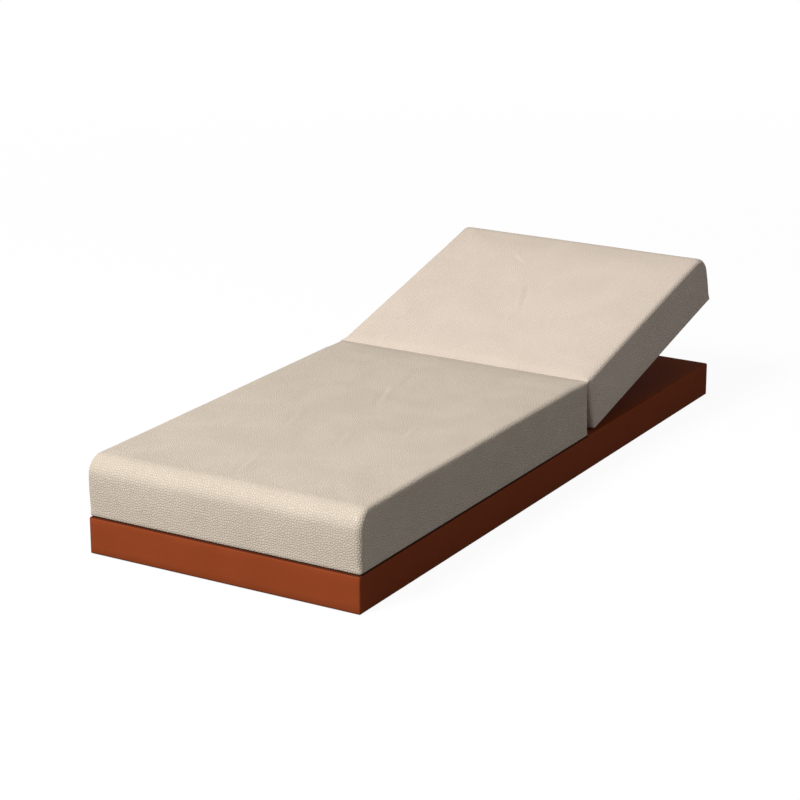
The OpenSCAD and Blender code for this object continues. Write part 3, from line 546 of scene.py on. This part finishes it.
def pair_of_boxes(xs, ys, zs):
    """A box on the right, from its least and most x, y and z, and the same on the left."""
    low, high = zip(xs, ys, zs)
    return [(low, high), ((-high[0], low[1], low[2]), (-low[0], high[1], high[2]))]


def put_on(piece, finish):
    """Gives a piece one finish all over."""
    piece.data.materials.clear()
    piece.data.materials.append(finish.material)


PLINTH_HALF_L, PLINTH_HALF_W, PLINTH_LOW, PLINTH_TOP = 1.0024, 0.4016, 0.0018, 0.1
PLINTH_ROUND, HEM_ROUND, HEM_W, SKIN_T = 0.005, 0.004, 0.025, 0.002


def terracotta_leatherette(name):
    """Smooth coated fabric: a satin face with a very fine grain, faintly clouded and pulled in soft
    waves. Painted shade darkens it along the joint under the seat and along the floor."""
    base = colour(141, 66, 35)
    fixed = {"Roughness": 0.45, "Specular IOR Level": 0, "Coat Weight": 0.03, "Coat Roughness": 0.28}
    skin = Finish(name, base, fixed)
    x, y, z = skin.place()
    at = skin.point(x, y, z)
    clouds = skin.rough(at, 7, 3, 0.55, 0.3)
    fine = skin.rough(at, 1100, 3, 0.6)
    pull = skin.drawn_out((x, y, z), (5, 5, 22))
    tone = skin.tint(skin.ease(clouds, 0.3, 0.7, 0, 0.5), base, colour(132, 60, 31))
    tone = skin.tint(skin.ease(fine, 0.35, 0.75, 0, 0.25), tone, colour(156, 77, 44))
    # Painted shade: a dark band along the plinth's top edge under the seat, and another along its foot by the
    # floor.
    joint_painted_shade = skin.ease(z, PLINTH_TOP - 0.003, PLINTH_TOP - 0.001, 0, 0.8)
    under_seat = skin.ease(y, AXIS_Y + 0.005, AXIS_Y - 0.005)
    floor_painted_shade = skin.ease(z, PLINTH_LOW + 0.006, PLINTH_LOW, 0, 0.75)
    dust_and_painted_shade = (joint_painted_shade * under_seat).at_least(floor_painted_shade)
    skin.feed("Base Color", skin.tint(dust_and_painted_shade, tone, colour(58, 28, 18)))
    skin.feed("Roughness", skin.ease(clouds * 0.5 + fine * 0.5, 0.3, 0.7, 0.4, 0.52))
    skin.feed("Normal", skin.relief(fine, 0.00006, skin.relief(pull, 0.0012)))
    return skin


# A side's radius stays this much under the ends' radii, so that no points cross at a corner.
SHY = 0.0005
HEM_OPENS = 0.2
STEP_ALONG, STEP_UP, STEP_ACROSS = 0.05, 0.02, 0.06
half_marks = [PLINTH_HALF_L - inside for inside in (HEM_W, PLINTH_ROUND, PLINTH_ROUND / 2, 0)]
plinth_ys = stops([-y for y in reversed(half_marks)] + half_marks, STEP_ALONG)
plinth_zs = stops(
    [PLINTH_LOW, PLINTH_LOW + HEM_ROUND]
    + [PLINTH_TOP - below for below in (PLINTH_ROUND, PLINTH_ROUND / 2, 0)],
    STEP_UP,
)
hem_share = (PLINTH_HALF_W - HEM_W) / (PLINTH_HALF_W - HEM_ROUND)
plinth_cover = padded_block(
    "plinth_cover", plinth_ys, plinth_zs, [[HEM_ROUND] * 2, [PLINTH_ROUND] * 2], 2 * PLINTH_HALF_W,
    lambda y, z: min(PLINTH_ROUND - SHY, HEM_ROUND - SHY + HEM_OPENS * (z - PLINTH_LOW)),
    stops([-1, -hem_share, hem_share, 1], STEP_ACROSS),
)


def inside_hem(face):
    x, y, z = face.calc_center_median()
    return z < PLINTH_LOW + SHY and abs(x) < PLINTH_HALF_W - HEM_W and abs(y) < PLINTH_HALF_L - HEM_W


hem = bmesh.new()
hem.from_mesh(plinth_cover.data)
bmesh.ops.delete(hem, geom=[face for face in hem.faces if inside_hem(face)], context="FACES")
hem.to_mesh(plinth_cover.data)
hem.free()
thickness = plinth_cover.modifiers.new("thickness", "SOLIDIFY")
thickness.thickness = SKIN_T
thickness.offset = -1
settle(plinth_cover)

# The cover goes down into both wells as a lip, and is slit for the hinge posts. The cuts run past it.
WELL_XS, WELL_YS, WELL_CUT_ZS = (0.0957, 0.1443), (0.1882, 0.40667), (0.08, 0.11)
LIP_ZS = (0.087, PLINTH_TOP - 0.0003)
POST_SLIT = ((0.3302, 0.3368), (0.1777, 0.2063), (0.09, 0.11))
lip_xs, lip_ys = [(low - SKIN_T, high + SKIN_T) for low, high in (WELL_XS, WELL_YS)]
cut(plinth_cover, pair_of_boxes(lip_xs, lip_ys, LIP_ZS), "UNION")
cut(plinth_cover, pair_of_boxes(WELL_XS, WELL_YS, WELL_CUT_ZS))
cut(plinth_cover, pair_of_boxes(*POST_SLIT))
plinth_cover.data.set_sharp_from_angle(angle=math.radians(50))
put_on(plinth_cover, terracotta_leatherette("terracotta_leatherette"))
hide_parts("base_cover")
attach(plinth_cover, "base")


# The staples of the plinth's cover: galvanised wire, shot through the hem into the rails all round,
# one every 70 mm or so, with their crowns flat on the leatherette.
STAPLE_L, STAPLE_W, STAPLE_T, STAPLE_LEG = 0.011, 0.0012, 0.0007, 0.005


def staples(name, half_w, ys, face_z, spacing, lean=0):
    """Staples round a rectangle, their crowns on a face that looks down."""
    boxes = []

    def drive(x, y, half_x, half_y):
        boxes.append(((x - half_x, y - half_y, face_z - STAPLE_T), (x + half_x, y + half_y, face_z)))
        side_x, side_y = min(half_x, STAPLE_T / 2), min(half_y, STAPLE_T / 2)
        for end in (-1, 1):
            leg_x = x + end * max(half_x - STAPLE_T / 2, 0) * (half_x > half_y)
            leg_y = y + end * max(half_y - STAPLE_T / 2, 0) * (half_y > half_x)
            low = (leg_x - side_x, leg_y - side_y, face_z - STAPLE_T / 2)
            high = (leg_x + side_x, leg_y + side_y, face_z + STAPLE_LEG)
            boxes.append((low, high))

    for x in stops([-half_w, half_w], spacing)[1:-1]:
        for y in ys:
            drive(x, y, STAPLE_L / 2, STAPLE_W / 2)
    for y in stops(ys, spacing)[1:-1]:
        for x in (-half_w, half_w):
            drive(x, y, STAPLE_W / 2, STAPLE_L / 2)
    piece = boxes_piece(name, boxes, lean)
    piece.data.shade_flat()
    put_on(piece, zinc)
    return piece


HEM_STAPLE_IN, HEM_SPACING = 0.016, 0.07
hem_half_w, hem_half_l = PLINTH_HALF_W - HEM_STAPLE_IN, PLINTH_HALF_L - HEM_STAPLE_IN
plinth_staples = staples("plinth_staples", hem_half_w, [-hem_half_l, hem_half_l], PLINTH_LOW, HEM_SPACING)
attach(plinth_staples, "base")


# The felt pads: four discs of pressed brown-grey wool felt, stuck on the plinth where the flat backrest
# lies. They keep its hem off the leatherette and take the knock as it comes down.
felt_gloss = {"Roughness": 0.95, "Specular IOR Level": 0.1, "Sheen Weight": 0.3}
felt = Finish("pressed_felt", colour(70, 62, 56), felt_gloss)
felt_at = felt.add("ShaderNodeTexCoord", {}, {}, "Object")
fibres = felt.rough(felt_at, 1300, 4, 0.7, 1.5)
felt.feed("Base Color", felt.tint(felt.ease(fibres, 0.3, 0.7), colour(52, 46, 42), colour(92, 82, 74)))
felt.feed("Normal", felt.relief(fibres, 0.0003))
wear(felt, "felt_pads")


# The boards of both cushions: birch plywood, glued to the foam, to which the covers are stapled. The
# seat's is bolted down to the deck. The backrest's carries the hinge arms and the brackets of the stays.
BOARD_PLY = 0.0015
BACK_BOARD_LOW = AXIS_Z - 0.1415
wear(plywood("seat_plywood", "X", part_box("seat_board")[0].z, BOARD_PLY), "seat_board")
wear(plywood("back_plywood", "X", BACK_BOARD_LOW, BOARD_PLY, LEAN), "back_board")


# The seat cushion: a foam block under wadding, in beige leatherette with a pebbled grain. The top panel
# runs over the round foot edge in one piece and the side panels are sewn in flush. It is bolted down.
CUSHION_W, CUSHION_TOP, CUSHION_STEP = 0.8, 0.257, 0.013
END_ROUND, SIDE_ROUND, HEM, JOINT_ROUND = 0.047, 0.0095, 0.006, 0.002
PEBBLE, GROOVE_SHARE, PEBBLE_RELIEF = 0.0068, 0.32, 0.0007


def beige_leatherette(name, round_y, out, floor, pale, deep):
    """Coated fabric with a pebble grain of about 7 mm. The grain follows the round end, whose edge has
    its middle at round_y, towards smaller y where out is -1 and larger y where it is 1. Painted shade
    darkens the grooves between the pebbles, more deeply on and near the round end. Painted shade also
    darkens it where its sides meet its lowest face, at the height floor. All this goes by where each
    point was drawn, so it stays in place on a cover that bends."""
    skin = Finish(name, pale, {"Roughness": 0.5, "Specular IOR Level": 0, "Coat Roughness": 0.3})
    drawn_at = skin.add("ShaderNodeAttribute", {"attribute_name": "drawn_at"}, {}, "Vector")
    x, y, z = [skin.add("ShaderNodeSeparateXYZ", {}, [drawn_at], axis) for axis in "XYZ"]
    along = (y - round_y) * -out
    rise = z - (CUSHION_TOP - END_ROUND)
    over = [rise.at_least(0), (0 - along).at_least(0)]
    turned = skin.add("ShaderNodeMath", {"operation": "ARCTAN2"}, over)
    length = turned * END_ROUND + along.at_least(0) + rise.at_most(0)
    aside = skin.ease(abs(skin.facing("X")), 0.5, 0.8)

    def pebbles(first, second):
        cell = skin.add(
            "ShaderNodeTexVoronoi", {"voronoi_dimensions": "2D", "feature": "DISTANCE_TO_EDGE"},
            {"Vector": skin.point(first, second, 0), "Scale": 1 / PEBBLE, "Randomness": 0.85}, "Distance",
        )
        return skin.ease(cell, 0, GROOVE_SHARE)

    dome = pebbles(x, length) * (1 - aside) + pebbles(y, z) * aside
    at = skin.point(x, y, z)
    clouds = skin.rough(at, 8, 3, 0.5, 0.4)
    fine = skin.rough(at, 900, 2, 0.6)
    tone = skin.tint(skin.ease(clouds, 0.3, 0.7, 0.3, 1), deep, pale)
    # Painted shade in the grooves between the pebbles: deeper on and near the round end, light on the sides.
    groove_shade, end_groove_shade = 0.16, 0.36
    painted_groove_shade = skin.ease(along, 0.15, 0, groove_shade, end_groove_shade) * (1 - aside) + groove_shade * aside
    grained = skin.tint(skin.ease(dome, 0, 0.8, 1, 0) * painted_groove_shade, tone, colour(150, 134, 118))
    # Painted shade: a dark band low on the sides, just above the lowest face, where the cushion meets the
    # plinth.
    dust_and_painted_shade = skin.ease(z - floor, 0.0055, 0.001, 0, 0.8) * skin.ease(z - floor, 0.0002, 0.001)
    skin.feed("Base Color", skin.tint(dust_and_painted_shade, grained, colour(52, 40, 33)))
    skin.feed("Roughness", skin.ease(clouds * 0.5 + dome * 0.5, 0.2, 0.8, 0.6, 0.46))
    skin.feed("Coat Weight", skin.ease(dome, 0.4, 1, 0, 0.3))
    skin.feed("Normal", skin.relief(fine, 0.00005, skin.relief(dome, PEBBLE_RELIEF)))
    return skin


def of_points(mesh, what="co"):
    """The places of a mesh's points, or their normals, one row each."""
    flat = np.zeros(len(mesh.vertices) * 3)
    mesh.vertices.foreach_get(what, flat)
    return flat.reshape(-1, 3)


def move_points(piece, places):
    piece.data.vertices.foreach_set("co", places.ravel())


PRESSURE, PUFF_STEPS = 4, 20


def puff(piece, cap):
    """Lets the padding press a cover out like a cushion, by a cloth simulation with pressure. No point
    moves further than about its cap in metres, which is given per point; where it is 0 the cover is
    held."""
    held = piece.vertex_groups.new(name="held")
    held.add([k for k in range(len(cap)) if cap[k] <= 0], 1, "REPLACE")
    cloth = piece.modifiers.new("cloth", "CLOTH")
    cloth.settings.vertex_group_mass = "held"
    cloth.settings.quality = 5
    cloth.settings.use_pressure = True
    cloth.settings.uniform_pressure_force = PRESSURE
    cloth.settings.effector_weights.gravity = 0
    cloth.collision_settings.use_collision = False
    cloth.point_cache.frame_start, cloth.point_cache.frame_end = 1, PUFF_STEPS
    for step in range(1, PUFF_STEPS + 1):
        bpy.context.scene.frame_set(step)
    blown = piece.evaluated_get(bpy.context.evaluated_depsgraph_get()).data
    start, end = of_points(piece.data), of_points(blown)
    piece.modifiers.clear()
    piece.vertex_groups.clear()
    bpy.context.scene.frame_set(1)
    move = end - start
    far = np.linalg.norm(move, axis=1)
    move *= (np.array(cap) / (np.array(cap) + far + 1e-9))[:, None]
    move_points(piece, start + move)


def keep_places(piece):
    """Keeps where each point was drawn, for the finish to read."""
    kept = piece.data.attributes.new("drawn_at", "FLOAT_VECTOR", "POINT")
    kept.data.foreach_set("vector", of_points(piece.data).ravel())


FOLD_W, FOLD_WANDER, UNEVEN = 0.009, 0.006, 0.0005


def crease(piece, folds):
    """Soft folds in the top of a cushion that lies flat, and the faint unevenness of its filling. A fold
    is its middle, its angle in degrees, its length and its depth, below 0 for a ridge."""
    at, normals = of_points(piece.data), of_points(piece.data, "normal")
    height = np.zeros(len(at))
    for x, y, angle, length, depth in folds:
        cos, sin = math.cos(math.radians(angle)), math.sin(math.radians(angle))
        along = (at[:, 0] - x) * cos + (at[:, 1] - y) * sin
        across = (at[:, 1] - y) * cos - (at[:, 0] - x) * sin
        across = across + FOLD_WANDER * np.sin(along / length * 5)
        fade = np.clip(1 - (along / length * 2) ** 2, 0, 1) ** 2
        lee, fold = np.exp(-((across - FOLD_W) / FOLD_W) ** 2), np.exp(-(across / FOLD_W) ** 2)
        height += depth * fade * (lee - fold)
    uneven = np.array([noise.noise(Vector(p) * 7) + 0.5 * noise.noise(Vector(p) * 15) for p in at])
    top = np.clip(normals[:, 2], 0, 1) ** 2
    move_points(piece, at + normals * ((height + UNEVEN * uneven) * top)[:, None])


SIDE_BELLY, END_BELLY, END_SPREAD, END_SOFTER, ASIDE = 0.0038, 0.003, 0.0035, 0.005, -0.004
SHARPEST, CORNER_OPENS, HEM_SPREADS = 0.0015, 0.8, 0.5
# The share of the height over which the spread sets in above the hem, and the shares of the length over
# which the sides' belly and the top's lift set in from the joint.
OFF_HEM, OFF_JOINT, LIFT_OFF_JOINT = 0.08, 0.03, 0.08
# The greater the power, the closer a swelling keeps to the sides or to the round end.
BELLY_POWER, SIDE_POWER, SPREAD_POWER, END_POWER = 0.7, 8, 12, 20
PUFF_TOP, PUFF_SIDE, PUFF_END, PUFF_CLEAR = 0.0034, 0.0024, 0.0012, 0.03


def grow(value, full):
    """Goes from 0 to 1 as a value goes from 0 to full."""
    return np.clip(value / full, 0, 1)


def cushion(name, ys, floor, rounds, joint_y, lift, folds):
    """A foam cushion that lies flat: its block, its bellied sides, swollen by its padding, then its
    folds. Its top stands up by the lift, and lies a little to the left. Nothing swells at the joint."""
    zs = stops([floor, floor + HEM, CUSHION_TOP - END_ROUND, CUSHION_TOP - HEM, CUSHION_TOP], CUSHION_STEP)
    end_y = ys[0] + ys[-1] - joint_y

    def edge(y, z):
        corner = max(abs(joint_y - y), CUSHION_TOP - z)
        widest = SIDE_ROUND + END_SOFTER * max(0, 1 - abs(y - end_y) / END_ROUND)
        return min(widest, SHARPEST + CORNER_OPENS * corner, HEM - SHY + HEM_SPREADS * (z - floor))

    piece = padded_block(name, ys, zs, rounds, CUSHION_W, edge, stops([-1, 1], CUSHION_STEP / CUSHION_W * 2))
    full = of_points(piece.data)
    rise = (full[:, 2] - floor) / (CUSHION_TOP - floor)
    share = np.clip((full[:, 1] - joint_y) / (end_y - joint_y), 0, 1)
    out = np.sign(end_y - joint_y)
    belly = np.sin(np.pi * np.clip(rise, 0, 1)) ** BELLY_POWER
    outwards = np.sign(full[:, 0]) * np.abs(full[:, 0] / CUSHION_W * 2) ** SIDE_POWER
    spread = END_SPREAD * share ** SPREAD_POWER * grow(rise, OFF_HEM)
    full[:, 0] += (SIDE_BELLY * grow(share, OFF_JOINT) * belly + spread) * outwards
    full[:, 1] += END_BELLY * belly * out * share ** END_POWER
    full[:, 2] += lift * rise * grow(share, LIFT_OFF_JOINT)
    full[:, 0] += ASIDE * np.sqrt(np.clip(rise, 0, 1))
    move_points(piece, full)
    normals, at = of_points(piece.data, "normal"), of_points(piece.data)
    cap = PUFF_TOP * np.clip(normals[:, 2], 0, 1) + PUFF_SIDE * np.abs(normals[:, 0])
    cap += PUFF_END * np.clip(normals[:, 1] * out, 0, 1)
    underside, hem_band = normals[:, 2] < -0.2, at[:, 2] < floor + HEM * 1.5
    cap[underside | hem_band] = 0
    cap *= grow(np.abs(at[:, 1] - joint_y), PUFF_CLEAR)
    puff(piece, cap)
    piece.modifiers.new("finer", "SUBSURF").levels = 1
    settle(piece)
    crease(piece, folds)
    return piece


SEAT_FOOT, SEAT_JOINT, SEAT_LOW, SEAT_LIFT = -0.998, 0.2057, 0.1002, 0.0045
seat_ys = stops(
    [SEAT_FOOT, SEAT_FOOT + HEM, SEAT_FOOT + END_ROUND]
    + [SEAT_JOINT - HEM, SEAT_JOINT - JOINT_ROUND, SEAT_JOINT],
    CUSHION_STEP,
)
SEAT_ROUNDS = [[HEM, HEM], [END_ROUND, JOINT_ROUND]]
SEAT_FOLDS = [
    (-0.014, -0.855, 109, 0.20, -0.0020),
    (-0.045, -0.741, 101, 0.12, -0.0014),
    (-0.114, -0.482, 113, 0.20, -0.0016),
    (-0.006, -0.203, 115, 0.28, -0.0020),
    (-0.031, -0.046, 110, 0.18, 0.0014),
    (0.210, -0.442, 111, 0.18, -0.0012),
    (0.091, -0.569, 112, 0.17, -0.0012),
]
# A pocket for each hinge, open to the joint.
POCKET_XS, POCKET_TOP = (0.3255, 0.3488), 0.2538
SEAT_POCKET = (POCKET_XS, (0.172, 0.22), (0.09, POCKET_TOP))
seat_cushion = cushion("seat_cushion", seat_ys, SEAT_LOW, SEAT_ROUNDS, SEAT_JOINT, SEAT_LIFT, SEAT_FOLDS)
cut(seat_cushion, pair_of_boxes(*SEAT_POCKET))
keep_places(seat_cushion)
seat_cushion.data.set_sharp_from_angle(angle=math.radians(60))
seat_skin = beige_leatherette(
    "beige_leatherette_seat", SEAT_FOOT + END_ROUND, -1, SEAT_LOW,
    colour(208, 195, 179), colour(200, 187, 171),
)
put_on(seat_cushion, seat_skin)
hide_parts("seat_cover", "seat_foam")
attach(seat_cushion, "base")


# The backrest cushion: made as the seat is, with its round edge at the head end. It stands on the
# hinges, and its cover is stapled to the underside of its own board.
BACK_JOINT, BACK_HEAD, BACK_LOW, BACK_LIFT, LOW_ROUND = 0.2085, 0.996, 0.1032, 0.0012, 0.006
back_ys = stops(
    [BACK_JOINT + inside for inside in (0, JOINT_ROUND, LOW_ROUND / 2, LOW_ROUND)]
    + [BACK_HEAD - END_ROUND, BACK_HEAD - HEM, BACK_HEAD],
    CUSHION_STEP,
)
BACK_ROUNDS = [[LOW_ROUND, HEM], [JOINT_ROUND, END_ROUND]]
BACK_FOLDS = [
    (-0.132, 0.812, 147, 0.14, -0.0012),
    (0.003, 0.579, 115, 0.25, 0.0016),
    (0.012, 0.455, 109, 0.14, -0.0016),
    (-0.108, 0.300, 94, 0.08, -0.0014),
    (0.138, 0.487, 111, 0.14, -0.0012),
]
BACK_POCKET = (POCKET_XS, (0.2, 0.246), (0.1185, POCKET_TOP))
back_cushion = cushion("back_cushion", back_ys, BACK_LOW, BACK_ROUNDS, BACK_JOINT, BACK_LIFT, BACK_FOLDS)
cut(back_cushion, pair_of_boxes(*BACK_POCKET))
keep_places(back_cushion)
move_points(back_cushion, np.array(leaning([tuple(p) for p in of_points(back_cushion.data)], LEAN)))
back_cushion.data.set_sharp_from_angle(angle=math.radians(60))
# The backrest's colours are painted a little lighter than the seat's: painted light, standing in for the
# brighter light on its tilted top.
back_skin = beige_leatherette(
    "beige_leatherette_back_painted_lighter", BACK_HEAD - END_ROUND, 1, BACK_LOW,
    colour(220, 205, 190), colour(214, 199, 184),
)
put_on(back_cushion, back_skin)
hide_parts("back_cover", "back_foam")
# A line from its top edge by the seat, inwards as far as the seat presses it in as the backrest rises, turned
# to where the backrest stands at rest.
PRESSED = 0.01
edge_line = [(0, BACK_JOINT, CUSHION_TOP), (0, BACK_JOINT + PRESSED, CUSHION_TOP - PRESSED)]
edge_start, edge_end = leaning(edge_line, LEAN)
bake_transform(back_cushion)


# The dust cloth: black spun-bonded cloth, cut with two openings for the brackets of the stays,
# stretched over the underside of the backrest and stapled round its edge.
CLOTH_HALF_W, CLOTH_FRONT, CLOTH_L, CLOTH_Z = 0.39, 0.216, 0.769, 0.1027
CLOTH_STEP, CLOTH_RIPPLE = 0.02, 0.0003
OPENING_W, OPENING_L = 0.0456, 0.0666
BRACKET_X, BRACKET_Y = 0.12, 0.3365
CLOTH_STAPLE_IN, CLOTH_SPACING = 0.007, 0.05
side_marks = [BRACKET_X - OPENING_W / 2, BRACKET_X + OPENING_W / 2]
cloth_xs = stops([-CLOTH_HALF_W, -side_marks[1], -side_marks[0], *side_marks, CLOTH_HALF_W], CLOTH_STEP)
cloth_ys = stops(
    [CLOTH_FRONT, BRACKET_Y - OPENING_L / 2, BRACKET_Y + OPENING_L / 2, CLOTH_FRONT + CLOTH_L], CLOTH_STEP,
)
cloth_points = [
    (x, y, CLOTH_Z + CLOTH_RIPPLE * noise.noise(Vector((x * 22, y * 9, 3))))
    for x in cloth_xs
    for y in cloth_ys
]
cloth_faces = []
for i in range(len(cloth_xs) - 1):
    for j in range(len(cloth_ys) - 1):
        mid_x, mid_y = (cloth_xs[i] + cloth_xs[i + 1]) / 2, (cloth_ys[j] + cloth_ys[j + 1]) / 2
        if abs(abs(mid_x) - BRACKET_X) < OPENING_W / 2 and abs(mid_y - BRACKET_Y) < OPENING_L / 2:
            continue
        k = i * len(cloth_ys) + j
        cloth_faces.append((k, k + 1, k + 1 + len(cloth_ys), k + len(cloth_ys)))
dust_cloth = new_piece("dust_cloth", leaning(cloth_points, LEAN), cloth_faces)
spun = Finish("spun_bonded_cloth", colour(40, 39, 40), {"Roughness": 0.9, "Specular IOR Level": 0.15})
spun_x, spun_y = flat_place(spun, LEAN)[:2]
dimples = spun.add(
    "ShaderNodeTexVoronoi", {"voronoi_dimensions": "2D", "feature": "F1"},
    {"Vector": spun.point(spun_x, spun_y, 0), "Scale": 700, "Randomness": 0.15}, "Distance",
)
threads = spun.drawn_out((spun_x, spun_y), (300, 900), 3, 0.6, 0.8)
spun.feed("Base Color", spun.tint(threads, colour(30, 29, 30), colour(54, 52, 52)))
spun.feed("Normal", spun.relief(dimples + threads * 0.5, 0.00025))
put_on(dust_cloth, spun)
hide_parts("back_dust_cloth")
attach(dust_cloth, "back")
cloth_staples = staples(
    "cloth_staples", CLOTH_HALF_W - CLOTH_STAPLE_IN,
    [CLOTH_FRONT + CLOTH_STAPLE_IN, CLOTH_FRONT + CLOTH_L - CLOTH_STAPLE_IN], CLOTH_Z, CLOTH_SPACING, LEAN,
)
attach(cloth_staples, "back")


# The hinge pins and the rods of the stays: ground and polished steel bar. The bushes in the eyes of the
# arms are sintered bronze, and the detents are drawn spring wire.
bright_steel = metal("bright_steel", colour(205, 206, 208), 0.2, 0.06, 700, 0.00001)
wear(
    bright_steel,
    "hinge_pins", "hinge_washers", "stay_foot_pins", "stay_head_pins", "stay_rod_left", "stay_rod_right",
    "stay_detent_left", "stay_detent_right",
)
bronze = metal("sintered_bronze", colour(176, 132, 78), 0.42, 0.08, 2200, 0.00003)
wear(bronze, "hinge_bushes")
